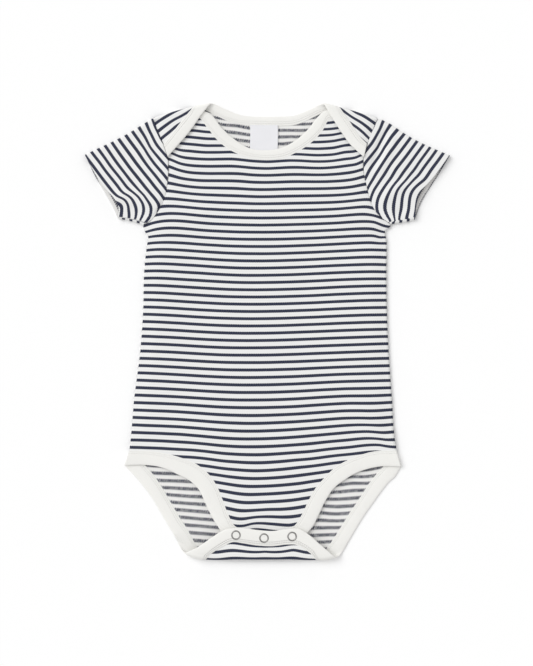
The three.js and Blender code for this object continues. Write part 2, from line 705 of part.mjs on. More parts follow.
// ---- Ring snaps: on each, a cap ring on the band, a socket under it, a stud below and its ring ----
const SIDES_ROUND = 16;
const turned = (name, profile, x, y, z) => {
  const made = new THREE.Mesh(
    new THREE.LatheGeometry(profile.map(([r, h]) => new THREE.Vector2(r, h)), SIDES_ROUND).rotateX(Math.PI / 2),
    metal(),
  );
  made.name = name;
  made.position.set(x, y, z);
  group.add(made);
};
const ringProfile = (inner, outer, high) => [
  [inner, 0],
  [outer, 0],
  [outer, high * 0.6],
  [(inner + outer) / 2, high],
  [inner, high * 0.6],
  [inner, 0],
];
SNAPS.forEach(([x, y], i) => {
  const n = i + 1;
  turned(`snap_cap_ring_${n}`, ringProfile(SNAP_R - 1.1, SNAP_R, 0.7), x, y, 9.0);
  turned(`snap_socket_${n}`, ringProfile(2.0, SNAP_R - 0.1, 1.0), x, y, 5.55);
  turned(
    `snap_stud_${n}`,
    [
      [0, 0],
      [SNAP_R - 0.1, 0],
      [SNAP_R - 0.1, 0.5],
      [1.5, 0.5],
      [1.7, 1.3],
      [1.2, 1.8],
      [0, 1.8],
    ],
    x,
    y,
    4.72,
  );
  turned(`snap_stud_ring_${n}`, ringProfile(SNAP_R - 1.1, SNAP_R, 0.7), x, y, 1.55);
});

group.children.forEach((mesh) => mesh.geometry.translate(-CENTRE.x, -CENTRE.y, 0));
export default group;
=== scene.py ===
# %% [markdown]
# # A striped baby bodysuit, laid flat
# This lesson dresses a plain solid model of a baby bodysuit. The garment lies on a white table with its
# front up and its neck away from us: a striped jersey body, two short sleeves, off-white rib strips round
# the neck and the legs, and three ring snaps at the crotch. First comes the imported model, as a fixed frame.

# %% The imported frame
import json
import math
import bmesh
import bpy
import numpy as np
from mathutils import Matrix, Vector

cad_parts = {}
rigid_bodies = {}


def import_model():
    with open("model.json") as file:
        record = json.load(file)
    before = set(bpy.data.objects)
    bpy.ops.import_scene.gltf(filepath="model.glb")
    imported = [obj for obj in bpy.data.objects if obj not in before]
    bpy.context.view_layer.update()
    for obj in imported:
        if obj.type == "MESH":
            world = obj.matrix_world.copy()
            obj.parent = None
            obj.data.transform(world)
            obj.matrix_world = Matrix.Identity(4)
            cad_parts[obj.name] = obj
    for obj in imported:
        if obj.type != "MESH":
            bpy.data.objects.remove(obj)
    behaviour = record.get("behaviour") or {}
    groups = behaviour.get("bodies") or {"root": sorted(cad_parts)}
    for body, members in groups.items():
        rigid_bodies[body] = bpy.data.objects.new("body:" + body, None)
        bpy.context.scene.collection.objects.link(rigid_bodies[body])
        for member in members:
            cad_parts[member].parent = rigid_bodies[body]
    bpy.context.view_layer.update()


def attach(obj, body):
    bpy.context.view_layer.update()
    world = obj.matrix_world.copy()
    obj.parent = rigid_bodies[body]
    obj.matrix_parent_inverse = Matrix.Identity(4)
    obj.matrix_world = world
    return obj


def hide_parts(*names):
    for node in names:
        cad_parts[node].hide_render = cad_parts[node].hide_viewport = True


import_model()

# %% [markdown]
# ## Camera
# The garment is seen from straight above. All shapes below are written in millimetres, with x and y as they
# are seen from there. The middle of the picture is the zero of those tables, and the model's own origin is
# the middle of the outline, so the two differ by a small shift.

# %% Camera over the garment
MM = 0.001
CENTRE = np.array([0.75, 1.15])  # middle of the outline, in the tables' millimetres
VIEW_HEIGHT = 582.75  # millimetres of table that the picture shows from top to bottom
CAMERA_UP = 1600.0
GARMENT_UP = 4.0  # height of the cloth at which the picture's scale holds
SENSOR = 36.0


def into_scene(name, data):
    """A new object round its data, linked into the scene."""
    made = bpy.data.objects.new(name, data)
    bpy.context.scene.collection.objects.link(made)
    return made


camera = into_scene("camera", bpy.data.cameras.new("camera"))
camera.data.sensor_width = SENSOR
camera.data.lens = SENSOR * (CAMERA_UP - GARMENT_UP) / VIEW_HEIGHT
camera.location = (-CENTRE[0] * MM, -CENTRE[1] * MM, CAMERA_UP * MM)
camera.data.clip_end = 20
bpy.context.scene.camera = camera
print("lens", round(camera.data.lens, 1), "mm")

# %% [markdown]
# ## Table and light
# The picture is almost free of shadow: a bright white table, light from all round, and a little more of it
# from the upper left. So the world is white, and one wide soft lamp gives the folds their direction.

# %% Table, world and lamp
TABLE_EDGE = 6  # metres from the middle to each edge
TABLE_SOCKETS = {"Base Color": (0.98, 0.98, 0.98, 1), "Roughness": 0.9, "Specular IOR Level": 0.0}
WORLD_STRENGTH = 0.69
LAMP_STRENGTH = 0.47
LAMP_SPREAD = math.radians(42)  # the wider it is, the softer its shadows
LAMP_FROM = Vector((-0.80, 0.55, 0.95))
floor = into_scene("table", bpy.data.meshes.new("table"))
corners = [(TABLE_EDGE * i, TABLE_EDGE * j, 0) for i, j in ((-1, -1), (1, -1), (1, 1), (-1, 1))]
floor.data.from_pydata(corners, [], [(0, 1, 2, 3)])
floor_finish = bpy.data.materials.new("table")
floor_finish.use_nodes = True
for socket, value in TABLE_SOCKETS.items():
    floor_finish.node_tree.nodes["Principled BSDF"].inputs[socket].default_value = value
floor.data.materials.append(floor_finish)

world = bpy.data.worlds.new("studio")
bpy.context.scene.world = world
world.use_nodes = True
world.node_tree.nodes["Background"].inputs["Color"].default_value = (1, 1, 1, 1)
world.node_tree.nodes["Background"].inputs["Strength"].default_value = WORLD_STRENGTH

lamp = into_scene("soft_lamp", bpy.data.lights.new("soft_lamp", "SUN"))
lamp.data.energy = LAMP_STRENGTH * math.pi
lamp.data.angle = LAMP_SPREAD
lamp.rotation_euler = LAMP_FROM.to_track_quat("Z", "Y").to_euler()
bpy.context.scene.view_settings.view_transform = "Standard"
print("table", 2 * TABLE_EDGE, "metres wide, world", WORLD_STRENGTH, "and lamp", LAMP_STRENGTH)

# %% [markdown]
# ## Small maths
# Every piece below is a surface worked out on a grid of numbers. These helpers blend, ease and run a smooth
# curve through the few points of a table.


# %% Blends and curves
def lerp(a, b, t):
    """a where t is 0, b where t is 1, and a straight blend between."""
    return a + (b - a) * t


def smooth(t):
    """0 below t = 0, 1 above t = 1, and an S-shaped ease between: t squared times (3 - 2t)."""
    t = np.clip(t, 0, 1)
    return t * t * (3 - 2 * t)


def spline(points, t):
    """A curve through all points, evenly in t from 0 to 1: between two points a cubic whose slopes come from
    their neighbours, with the square root of each distance as its step, so that it never loops."""
    p = np.asarray(points, float)
    p = np.vstack([2 * p[0] - p[1], p, 2 * p[-1] - p[-2]])
    s = np.clip(t, 0, 1) * (len(p) - 3)
    i = np.minimum(s.astype(int), len(p) - 4)
    w = (s - i)[:, None]
    a, b, c, d = p[i], p[i + 1], p[i + 2], p[i + 3]
    step = lambda q, r: np.maximum(np.linalg.norm(r - q, axis=1), 1e-6)[:, None] ** 0.5
    h0, h1, h2 = step(a, b), step(b, c), step(c, d)
    m1 = ((b - a) / h0 - (c - a) / (h0 + h1) + (c - b) / h1) * h1
    m2 = ((c - b) / h1 - (d - b) / (h1 + h2) + (d - c) / h2) * h1
    return b + w * (m1 + w * (3 * (c - b) - 2 * m1 - m2 + w * (2 * (b - c) + m1 + m2)))


def column(rows, k, y):
    """Column k of a table at height y: a smooth curve through its rows, by even steps of height."""
    rows = np.asarray(rows, float)
    h, v = rows[:, 0], rows[:, k]
    slope = np.gradient(v, h)
    i = np.clip(np.searchsorted(h, y) - 1, 0, len(h) - 2)
    d = h[i + 1] - h[i]
    w = np.clip((y - h[i]) / d, 0, 1)
    chord = (v[i + 1] - v[i]) / d
    m1 = np.where(slope[i] * chord > 0, slope[i], 0)
    m2 = np.where(slope[i + 1] * chord > 0, slope[i + 1], 0)
    limit = 2.5 * np.abs(chord)
    m1, m2 = np.clip(m1, -limit, limit) * d, np.clip(m2, -limit, limit) * d
    gap = v[i + 1] - v[i]
    return v[i] + w * (m1 + w * (3 * gap - 2 * m1 - m2 + w * (m1 + m2 - 2 * gap)))


def along(points, t):
    """A point at share t of the way along a list of points, counted in points and straight between them."""
    s = np.clip(t, 0, 1) * (len(points) - 1)
    i = np.minimum(s.astype(int), len(points) - 2)
    return lerp(points[i], points[i + 1], (s - i)[:, None])


def to_segment(x, y, x1, y1, x2, y2):
    """Distance from each point to a segment, and the share of the way along it."""
    dx, dy = x2 - x1, y2 - y1
    t = ((x - x1) * dx + (y - y1) * dy) / (dx * dx + dy * dy)
    c = np.clip(t, 0, 1)
    return np.hypot(x - x1 - c * dx, y - y1 - c * dy), t


# %% [markdown]
# ## From grids to meshes
# A grid of points becomes a mesh of squares. Cloth also carries a second pair of numbers at each point: how
# far along a knitted row it is, and how many stripes it is from the first one. The stripes then follow the
# cloth round every fold.


# %% Grid to mesh
WELD = 1e-5  # metres: corners nearer than this are one


def piece(name, grids, finish, cloth=None, flip=False, ring=False):
    """Joins grids of points (rows, columns, xyz in millimetres) into one mesh object. ring closes each row on
    itself; cloth holds a matching grid (rows, columns, 2) for each grid. Edges that meet are merged."""
    points, faces, coords = [], [], []
    start = 0
    for k, grid in enumerate(grids):
        rows, cols = grid.shape[:2]
        index = start + np.arange(rows * cols).reshape(rows, cols)
        across = np.hstack([index, index[:, :1]]) if ring else index
        corners = [across[:-1, :-1], across[:-1, 1:], across[1:, 1:], across[1:, :-1]]
        quads = np.stack(corners, -1).reshape(-1, 4)
        faces.append(quads[:, ::-1] if flip else quads)
        points.append(grid.reshape(-1, 3))
        if cloth is not None:
            coords.append(cloth[k].reshape(-1, 2))
        start += rows * cols
    points = (np.vstack(points) - [CENTRE[0], CENTRE[1], 0]) * MM
    faces = np.vstack(faces)
    mesh = bpy.data.meshes.new(name)
    mesh.vertices.add(len(points))
    mesh.vertices.foreach_set("co", points.ravel())
    mesh.loops.add(faces.size)
    mesh.loops.foreach_set("vertex_index", faces.ravel())
    mesh.polygons.add(len(faces))
    mesh.polygons.foreach_set("loop_start", np.arange(0, faces.size, 4))
    mesh.update(calc_edges=True)
    mesh.polygons.foreach_set("use_smooth", np.ones(len(faces), bool))
    if cloth is not None:
        layer = mesh.uv_layers.new(name="cloth")
        layer.data.foreach_set("uv", np.vstack(coords)[faces.ravel()].astype(np.float32).ravel())
    weld_edges(mesh)
    mesh.update()
    for each in finish if isinstance(finish, (list, tuple)) else [finish]:
        mesh.materials.append(each)
    made = into_scene(name, mesh)
    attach(made, "root")
    return made


def weld_edges(mesh):
    """Merges corners that lie within a hundredth of a millimetre of each other into one."""
    work = bmesh.new()
    work.from_mesh(mesh)
    bmesh.ops.remove_doubles(work, verts=work.verts, dist=WELD)
    work.to_mesh(mesh)
    work.free()


def thicken(made, thickness, inner=0):
    """Gives a sheet its wall, half to each side; inner is the step to the material of its far side."""
    wall = made.modifiers.new("wall", "SOLIDIFY")
    wall.thickness = thickness * MM
    wall.offset = 0
    wall.use_even_offset = False
    wall.material_offset = inner
    wall.material_offset_rim = 0
    return made


# %% [markdown]
# ## Shader sums
# Knit is drawn with plain arithmetic. This class wraps a node's output, so that `1 - stripe` or
# `courses * 0.3` adds the right Math node by itself.


# %% Shader helper
class Signal:
    """A number that varies over a surface."""

    def __init__(self, finish, socket):
        self.finish, self.socket = finish, socket

    def math(self, operation, other=0.0, swap=False, clamp=False):
        """One Math node on this number and another; swap puts the other one first."""
        values = {0: other, 1: self} if swap else {0: self, 1: other}
        return self.finish.node("Math", {"operation": operation, "use_clamp": clamp}, values)

    # a sum, a difference, a product and a quotient, each one Math node
    def __add__(self, other):
        return self.math("ADD", other)

    def __sub__(self, other):
        return self.math("SUBTRACT", other)

    def __rsub__(self, other):
        return self.math("SUBTRACT", other, swap=True)

    def __mul__(self, other):
        return self.math("MULTIPLY", other)

    def __truediv__(self, other):
        return self.math("DIVIDE", other)

    __radd__ = __add__
    __rmul__ = __mul__

    def wave(self):
        """From 0 up to 1 and back with each whole number: half of 1 minus the cosine."""
        return (self * (2 * math.pi)).math("COSINE") * -0.5 + 0.5

    def near(self, width, soft):
        """1 within half a width of each whole number, 0 outside, with a soft edge."""
        away = ((self + 0.5).math("FRACT") - 0.5).math("ABSOLUTE")
        return ((width / 2 - away) / soft).math("ADD", 0.5, clamp=True)

    def clamped(self):
        """The number itself, held between 0 and 1."""
        return self.math("ADD", 0.0, clamp=True)

    def line(self, at, width):
        """A bell of the given half width round one value: e to the minus square of the distance."""
        away = (self - at) / width
        return (away * away * -1.0).math("EXPONENT")


class Finish:
    """A material and its tree. Sockets that are the same all over are set when it is made."""

    def __init__(self, name, **sockets):
        self.material = bpy.data.materials.new(name)
        self.material.use_nodes = True
        self.tree = self.material.node_tree
        self.shader = self.tree.nodes["Principled BSDF"]
        for socket, value in sockets.items():
            self.shader.inputs[socket.replace("_", " ")].default_value = value

    def node(self, kind, settings=None, values=None, output=0):
        """Adds a node: first its settings, then the numbers or links of its sockets; gives one output."""
        made = self.tree.nodes.new("ShaderNode" + kind)
        for key, value in (settings or {}).items():
            setattr(made, key, value)
        for key, value in (values or {}).items():
            if isinstance(value, Signal):
                self.tree.links.new(value.socket, made.inputs[key])
            else:
                made.inputs[key].default_value = value
        return Signal(self, made.outputs[output])

    def feed(self, socket, signal):
        """Links a signal to a socket of the shader."""
        self.tree.links.new(signal.socket, self.shader.inputs[socket])

    def cloth(self):
        """The two cloth numbers of the piece's own map."""
        both = self.node("UVMap", {"uv_map": "cloth"})
        return [self.node("SeparateXYZ", None, {0: both}, k) for k in (0, 1)]

    def place(self):
        """Object coordinates, in metres."""
        return self.node("TexCoord", output="Object")

    def vector(self, x, y):
        """Two numbers as a place on the plane, for a noise."""
        return self.node("CombineXYZ", None, {0: x, 1: y})

    def noise(self, vector, scale, detail=2.0, roughness=0.5):
        """Soft random clouds, 0.5 on average; a larger scale makes them smaller."""
        values = {"Vector": vector, "Scale": scale, "Detail": detail, "Roughness": roughness}
        return self.node("TexNoise", None, values)

    def mix(self, share, a, b):
        """Colour a where share is 0 and b where it is 1."""
        return self.node("Mix", {"data_type": "RGBA"}, {0: share, 6: a, 7: b}, 2)

    def bump(self, height, strength, distance):
        """Tilts the shading as if the surface rose by height times distance, in metres."""
        values = {"Height": height, "Strength": strength, "Distance": distance}
        self.feed("Normal", self.node("Bump", None, values))


# %% [markdown]
# ## Striped jersey
# Jersey is knitted in rows (courses) and columns (wales). Two of the five courses of each repeat are navy.
# On the right side the stripe is dark with tiny teeth where the loops of the two yarns meet. The wrong side
# shows the backs of the loops, so its stripes are greyer, broken up and soft.

# %% Jersey finishes
STRIPE_MM = 6.3  # one repeat of dark and light
NAVY_WIDTH = 0.42  # share of a repeat that is dark
COURSES = 5.0  # knitted rows in a repeat
LOOPS = 4.0  # loops along a row in the length of one repeat
COTTON = {"Sheen_Weight": 0.05, "Sheen_Roughness": 0.5, "Specular_IOR_Level": 0.12}
COURSE_SHADE = (0.55, 0.55, 0.57, 1)  # painted shade in the groove between two rows of loops
LOOP_SHINE = (0.30, 0.31, 0.36, 1)  # the dark yarn where a loop faces the light


def jersey(name, dark, light, wrong=False):
    """Dark where the stripe count is near a whole number, with a tooth for each loop; on the wrong side the
    loops' backs break the dark up and mix it with the light yarn. Painted shade darkens the light yarn
    between the courses, among random clouds of tone, and a painted highlight lightens the navy on the loops."""
    finish = Finish(name, Roughness=0.86, **COTTON)
    u, v = finish.cloth()
    where = finish.vector(u, v)
    drift = (finish.noise(where, 0.35) - 0.5) * 0.03
    loop = (u * LOOPS).wave()
    course = (v * COURSES + 0.5).wave()
    cloud = finish.noise(finish.place(), 60.0, 3.0) - 0.5
    if wrong:
        twist = (u * LOOPS * 0.8 + v * 1.2).wave()
        ragged = (finish.noise(finish.vector(u * 3.0, v * 1.2), 3.0, 3.0, 0.6) - 0.5) * 0.10
        share = (v + drift + ragged + (twist - 0.5) * 0.10).near(NAVY_WIDTH * 1.12, 0.12)
        flecks = finish.noise(finish.vector(u, v * 0.8), 3.0, 2.0, 0.6)
        share = share * ((flecks - 0.5) * 1.4 + 0.58 + twist * 0.45).clamped()
    else:
        share = (v + drift + (loop - 0.5) * 0.03).near(NAVY_WIDTH, 0.04)
        share = share * (0.95 + loop * 0.05)
    # painted shade between the courses, plus random clouds of tone
    shade = (1 - course) * 0.14 + cloud * 0.12 + 0.02
    pale = finish.mix(shade, light, COURSE_SHADE)
    # painted highlight: the navy lightened where loop and course are high
    deep = finish.mix(loop * course * 0.06, dark, LOOP_SHINE)
    finish.feed("Base Color", finish.mix(share, pale, deep))
    finish.bump(loop * 0.5 + course * 0.6 + finish.noise(where, 14.0) * 0.3, 0.3, 0.00018)
    return finish.material


right_side = jersey("striped_jersey", (0.011, 0.016, 0.044, 1), (0.86, 0.86, 0.85, 1))
wrong_side = jersey("striped_jersey_inside", (0.012, 0.018, 0.045, 1), (0.85, 0.84, 0.82, 1), wrong=True)
print("one stripe repeat:", STRIPE_MM, "mm,", COURSES, "courses")

# %% [markdown]
# ## Rib, ribbon and metal
# The strips are the same cotton, plain off-white, knitted as a fine rib so that they stretch. The neck label
# is smooth woven ribbon, left plain. The snaps are bright pressed metal.

# %% Plain finishes
RIB_LOOPS = 0.9  # ridges of the rib in a millimetre along the strip
SEWN = (1.7, 3.4)  # two rows of stitches, millimetres from the strip's cloth edge
SEWN_WIDTH = 0.45  # half width of a row of stitches, millimetres
SEWN_FULL_FROM, SEWN_FULL_OVER = 0.006, 0.001  # metres up, and the rise over which the sewn rows' painted shade and bump grow to full strength
# RIB_SHADE: painted shade for the rib's hollows and the sewn rows
RIB_SHADE = (0.55, 0.54, 0.52, 1)
RIBBON_SHADE = (0.6, 0.6, 0.66, 1)
METAL_DARK, METAL_LIGHT = (0.16, 0.155, 0.15, 1), (0.46, 0.45, 0.44, 1)


def rib_knit(name, colour):
    """Fine ridges across the strip, two sewn rows along it, a little cloudiness and a soft bump; painted
    shade darkens the hollows between the ridges and the sewn rows. The sewing, its painted shade and its
    bump, shows most on the snap band, which lies highest: above 6 mm it counts in full."""
    finish = Finish(name, Roughness=0.88, **COTTON)
    u, v = finish.cloth()
    rib = (u * RIB_LOOPS + v * 0.35).wave()
    cloud = finish.noise(finish.place(), 45.0, 3.0) - 0.5
    fibre = finish.noise(finish.vector(u * 2.0, v * 1.2), 1.5, 3.0) - 0.5
    thread = (u * 0.45).wave()
    rows = v.line(SEWN[0], SEWN_WIDTH) + v.line(SEWN[1], SEWN_WIDTH)
    height = finish.node("SeparateXYZ", None, {0: finish.place()}, 2)
    # how high the strip lies: the sewn rows' bump groove and painted shade count in full above 6 mm
    tight = ((height - SEWN_FULL_FROM) / SEWN_FULL_OVER).clamped()
    sewn = rows * (0.6 + thread * 0.4) * (0.45 + tight * 0.55)
    # painted shade in the hollows between ridges and along the sewn rows, plus random cloud and fibre tone
    shade = (1 - rib) * 0.06 + cloud * 0.10 + fibre * 0.08 + sewn * 0.15 + 0.02
    finish.feed("Base Color", finish.mix(shade, colour, RIB_SHADE))
    finish.bump(rib * 0.35 + fibre * 0.5 - sewn * 2.4, 0.7, 0.0004)
    return finish.material


def ribbon(name, colour):
    """A tight plain weave, a wave along times a wave across, with a faint silk gloss."""
    finish = Finish(name, Roughness=0.5, Sheen_Weight=0.1, Specular_IOR_Level=0.4)
    u, v = finish.cloth()
    weave = (u * 2.6).wave() * (v * 2.6).wave()
    cloud = finish.noise(finish.place(), 90.0) - 0.5
    # painted shade in the hollows of the weave, plus random clouds of tone
    finish.feed("Base Color", finish.mix((1 - weave) * 0.08 + cloud * 0.06, colour, RIBBON_SHADE))
    finish.bump(weave, 0.2, 0.0001)
    return finish.material


def snap_metal(name):
    """Pressed nickel: one soft cloud mixes its colour, sets its gloss and bends its shine a little."""
    finish = Finish(name, Metallic=1.0)
    cloud = finish.noise(finish.place(), 900.0, 3.0)
    finish.feed("Base Color", finish.mix(cloud, METAL_DARK, METAL_LIGHT))
    finish.feed("Roughness", cloud * 0.2 + 0.22)
    finish.bump(cloud, 0.1, 0.00005)
    return finish.material


off_white_rib = rib_knit("off_white_rib", (0.90, 0.893, 0.862, 1))
plain_ribbon = ribbon("plain_ribbon", (0.83, 0.83, 0.855, 1))
bright_metal = snap_metal("bright_metal")

# %% [markdown]
# ## The cut, as it lies
# These short tables are the solid model's own, but for a few rows at the ends of the two neck strips and at
# the left corner of the crotch, which lie a little closer to the real ones here. They give side seams and
# armholes as heights with a left and a right x, and each rib strip as stations with a cloth edge, where it
# is sewn to the jersey, and a free edge.

# %% Edge tables
CLOTH, RIB, SEAM = 1.2, 1.8, 0.3  # jersey, rib strip, and the gap that sewn pieces keep in the solids
SHELL = 0.9  # thickness of the drawn jersey
TUCK = 2.0  # how far the jersey's edge reaches under a strip
BACK_Z, FRONT_Z, SIDE_Z, YOKE_Z = CLOTH / 2, 3.5, 2.1, 3.0  # heights of the middle of each layer
SIDE_ROLL = 14.0  # how far in from the side seams the front has risen to its full height
LEG_Y, ARMPIT_Y = -102.5, 94  # heights of the leg corners and of the armpits
SHOULDER_BEND, CROTCH_BEND, SLEEVE_BEND = 2.2, 3.45, 1.6  # radius of each fold
EDGE = [
    # y, left x, right x: side seams, then armholes from the armpit up
    (-102.5, -120, 114),
    (-93.5, -119, 112.5),
    (-58.5, -116, 110),
    (-15, -110.5, 107),
    (20, -108, 105.5),
    (55, -107, 105),
    (78, -104.5, 105.3),
    (84, -103.5, 104.6),
    (89, -106.5, 103.6),
    (94.5, -108, 109),
    (100, -100.5, 102),
    (106, -95.5, 96),
    (112, -92, 92.5),
    (120, -89, 90),
    (130, -87, 87.5),
    (141, -86, 85.3),
    (152, -86.2, 85),
    (160, -88.5, 86.7),
    (168, -91.5, 89.3),
    (176, -95, 92.4),
    (183, -97.5, 95.2),
    (188.5, -99.5, 97.8),
]
FRONT_LEG = [
    # cloth x, cloth y, free x, free y
    (-120, -102.5, -124.5, -116),
    (-104.5, -103, -108, -115.5),
    (-89, -105, -92.5, -117.5),
    (-74, -109, -78.5, -123.5),
    (-61, -114.5, -67, -129.5),
    (-51, -122.5, -59, -137.5),
    (-44, -132, -54, -148),
    (-38.5, -144.5, -49.5, -157.5),
    (-33.5, -158, -43.5, -168),
    (-27.5, -168.5, -35, -179.5),
    (-18, -172, -20.5, -184.5),
    (-1.5, -173, -1.5, -185.5),
    (14.5, -172, 17, -184.5),
    (24, -168.5, 30.5, -179.5),
    (30.5, -159, 40, -170),
    (36.5, -146.5, 46, -158.5),
    (42, -136.5, 51, -148),
    (50.5, -126.5, 59, -136),
    (61, -116.5, 68.5, -128.5),
    (75.5, -109, 81, -121.5),
    (93, -103.5, 98.5, -117),
    (114, -102.5, 118, -117),
]
FRONT_NECK = [
    # cloth x, cloth y, free x, free y
    (-92.1, 170.5, -96.2, 180.5),
    (-82.5, 175, -85.5, 185.5),
    (-72, 179.5, -74, 189.5),
    (-65.5, 184, -64.5, 194.3),
    (-59.3, 187.8, -54.3, 194.2),
    (-52, 179.5, -47.6, 190.5),
    (-43.5, 169, -39, 179.5),
    (-33, 160.5, -28.5, 170),
    (-18, 154, -15.5, 162),
    (-1.5, 151.5, -1.5, 160),
    (14.5, 153, 12.5, 162),
    (27.5, 158.5, 24.5, 168),
    (40, 167, 36.5, 178.5),
    (49, 176.6, 45, 189.3),
    (55.3, 186.8, 51.3, 194.6),
    (62, 186, 61.5, 195.3),
    (70.5, 181.5, 73, 190.5),
    (80, 175.5, 83.5, 185.5),
    (89.8, 170.5, 93.9, 180.5),
]
BACK_NECK = {
    # cloth x, cloth y, free x, free y: left flap as seen, the back itself, right flap as seen
    "left": [
        (-90, 165, -86.3, 154),
        (-84.5, 172, -78.5, 163),
        (-78.5, 180, -71, 171.5),
        (-72.5, 187.5, -64, 180.5),
        (-68, 193, -58, 189.5),
    ],
    "back": [
        (-51, 194, -39.5, 197.8),
        (-44, 190.5, -33, 194.8),
        (-36.5, 186.8, -26.5, 192.2),
        (-27.5, 183.8, -20.5, 190.6),
        (-16, 182, -13.5, 189.8),
        (-1.5, 181.5, -1.5, 189.5),
        (13.5, 181.3, 12.5, 189.7),
        (25, 182.3, 23, 190.4),
        (33, 185, 30.5, 192.7),
        (40.5, 188.6, 37, 195.5),
        (48.5, 192.5, 43.5, 198.3),
    ],
    "right": [
        (68, 192, 56.5, 189.5),
        (72.8, 185, 62.5, 180),
        (77.5, 178, 67.5, 172.5),
        (82, 171.5, 73.5, 164.5),
        (87.9, 165.6, 85.2, 153.5),
    ],
}
BACK_LEG = {
    # the same for the leg: left leg, crotch flap as seen, right leg
    "left": [
        (-120, -102.5, -124.5, -116),
        (-105.5, -116.5, -113.5, -128),
        (-95.5, -129, -102, -142.5),
        (-85.5, -145.5, -92, -159),
        (-75.5, -162.5, -85, -171),
        (-70.3, -170, -81, -177.2),
    ],
    "flap": [
        (-50, -193.9, -67, -190),
        (-44.5, -190.3, -58, -185.6),
        (-37, -186, -47.5, -178.3),
        (-29.5, -182.7, -37, -172),
        (-20.5, -183.7, -24, -170),
        (-8.5, -185.6, -9, -171.8),
        (5, -186.2, 5, -172.8),
        (17, -184.8, 18, -171.2),
        (25.5, -185, 27.5, -170.8),
        (32, -188, 37, -176),
        (38.5, -192.5, 48, -185.5),
    ],
    "right": [
        (58, -181.5, 72, -182.5),
        (69.5, -163, 83, -164),
        (81, -145.5, 94, -148),
        (92, -129, 106.5, -131.5),
        (102.5, -116.5, 112.5, -126),
        (114, -102.5, 118, -117),
    ],
}


def left_edge(y):
    """x of the left seam at height y: a smooth curve through the table's second column."""
    return column(EDGE, 1, y)


def right_edge(y):
    """x of the right seam at height y: a smooth curve through the table's third column."""
    return column(EDGE, 2, y)


def stations(rows, count):
    """A strip's stations: its cloth edge and its free edge as two smooth curves with shared steps."""
    rows = np.asarray(rows, float)
    t = np.linspace(0, 1, count)
    return np.stack([spline(rows[:, :2], t), spline(rows[:, 2:], t)], 1)


def under(rails):
    """The jersey's edge beside a strip: the strip's cloth edge, moved straight across under the strip."""
    across = rails[:, 1] - rails[:, 0]
    return rails[:, 0] + across / np.linalg.norm(across, axis=1)[:, None] * TUCK


print("table rows: sides", len(EDGE), "front leg", len(FRONT_LEG), "front neck", len(FRONT_NECK))


# %% [markdown]
# ## The three folds of the back panel
# The back panel is one flat pattern piece. At the crotch and over both shoulders it folds forward and comes
# to lie on the front. A fold turns the cloth round a small radius, so lengths on the cloth stay true and the
# stripes change direction by themselves.


# %% Folding
class Fold:
    """A fold line from one point to another, inset from the garment's edge. Beyond it the cloth turns up
    round radius and comes back over itself; bow bends the line outward."""

    def __init__(self, start, end, inset, radius, bow):
        start, end = np.array(start, float), np.array(end, float)
        self.half = np.linalg.norm(end - start) / 2
        self.dir = (end - start) / (2 * self.half)
        self.out = np.array([-self.dir[1], self.dir[0]])
        self.middle = (start + end) / 2 - self.out * inset
        self.radius, self.turn, self.bow = radius, math.pi * radius, bow

    def local(self, p):
        """Distance along the line, and distance past it."""
        c = (p - self.middle) @ self.dir
        return c, (p - self.middle) @ self.out - self.bow(c / self.half)

    def world(self, c, d):
        """The point c along the line and d past it: its middle, plus c along, plus d and the bow out."""
        reach = d + self.bow(c / self.half)
        return self.middle + c[..., None] * self.dir + reach[..., None] * self.out

    def unfold(self, p):
        """From where a point of the flap is seen to where it lies on the flat pattern."""
        c, d = self.local(p)
        return self.world(c, self.turn - d)

    def put(self, p, h):
        """Pattern point and height over the wall's middle to x, y, z: flat before the line, on a half circle
        round the fold, and flat again on top, going back."""
        c, d = self.local(p)
        a = np.clip(d / self.turn, 0, 1) * math.pi
        seen = np.where(d <= 0, d, np.where(d < self.turn, (self.radius - h) * np.sin(a), self.turn - d))
        z = np.where(d <= 0, h, self.radius - (self.radius - h) * np.cos(a))
        return np.concatenate([self.world(c, seen), z[..., None]], -1)

    def share(self, p):
        """How far round the fold a point lies: its distance past the line over the length of the turn."""
        return np.clip(self.local(p)[1] / self.turn, 0, 1)


SHOULDER_INSET = 2.9  # from the garment's outline in to the fold line
CROTCH_INSET = CROTCH_BEND + 0.6
arch = lambda height: lambda t: height * (1 - np.minimum(1, t * t))  # highest in the middle
drawn_in = lambda t: -6.1 * np.minimum(1.12, np.abs(t)) ** 8  # straight, with both ends curving in
shoulder_left = Fold((-99.5, 188.5), (-47, 201.6), SHOULDER_INSET, SHOULDER_BEND, arch(1.3))
shoulder_right = Fold((49, 201.4), (97.8, 188.2), SHOULDER_INSET, SHOULDER_BEND, arch(0.8))
crotch = Fold((68.5, -199), (-71.5, -199), CROTCH_INSET, CROTCH_BEND, drawn_in)
FOLDS = (crotch, shoulder_left, shoulder_right)


def nearest_fold(p, low, left, right):
    """Of three answers, the crotch fold's for the lower half, and above it that of the same side's fold."""
    return np.where(p[..., 1] < 0, low, np.where(p[..., 0] < 0, left, right))


def put_back(p, h):
    """A point of the back's flat pattern in space: put round its nearest fold, h over the middle of its
    wall, and up by half the wall to lie on the table."""
    p = np.asarray(p, float)
    h = np.broadcast_to(h, p.shape[:-1])
    made = nearest_fold(p[..., None, :], *(fold.put(p, h) for fold in FOLDS))
    made[..., 2] += BACK_Z
    return made


def fold_share(p):
    """0 on the floor layer, 1 on a flap, and between the two round a fold."""
    return nearest_fold(p, *(fold.share(p) for fold in FOLDS))


print("crotch fold", round(2 * crotch.half), "mm long, shoulder folds", round(2 * shoulder_left.half), "mm")
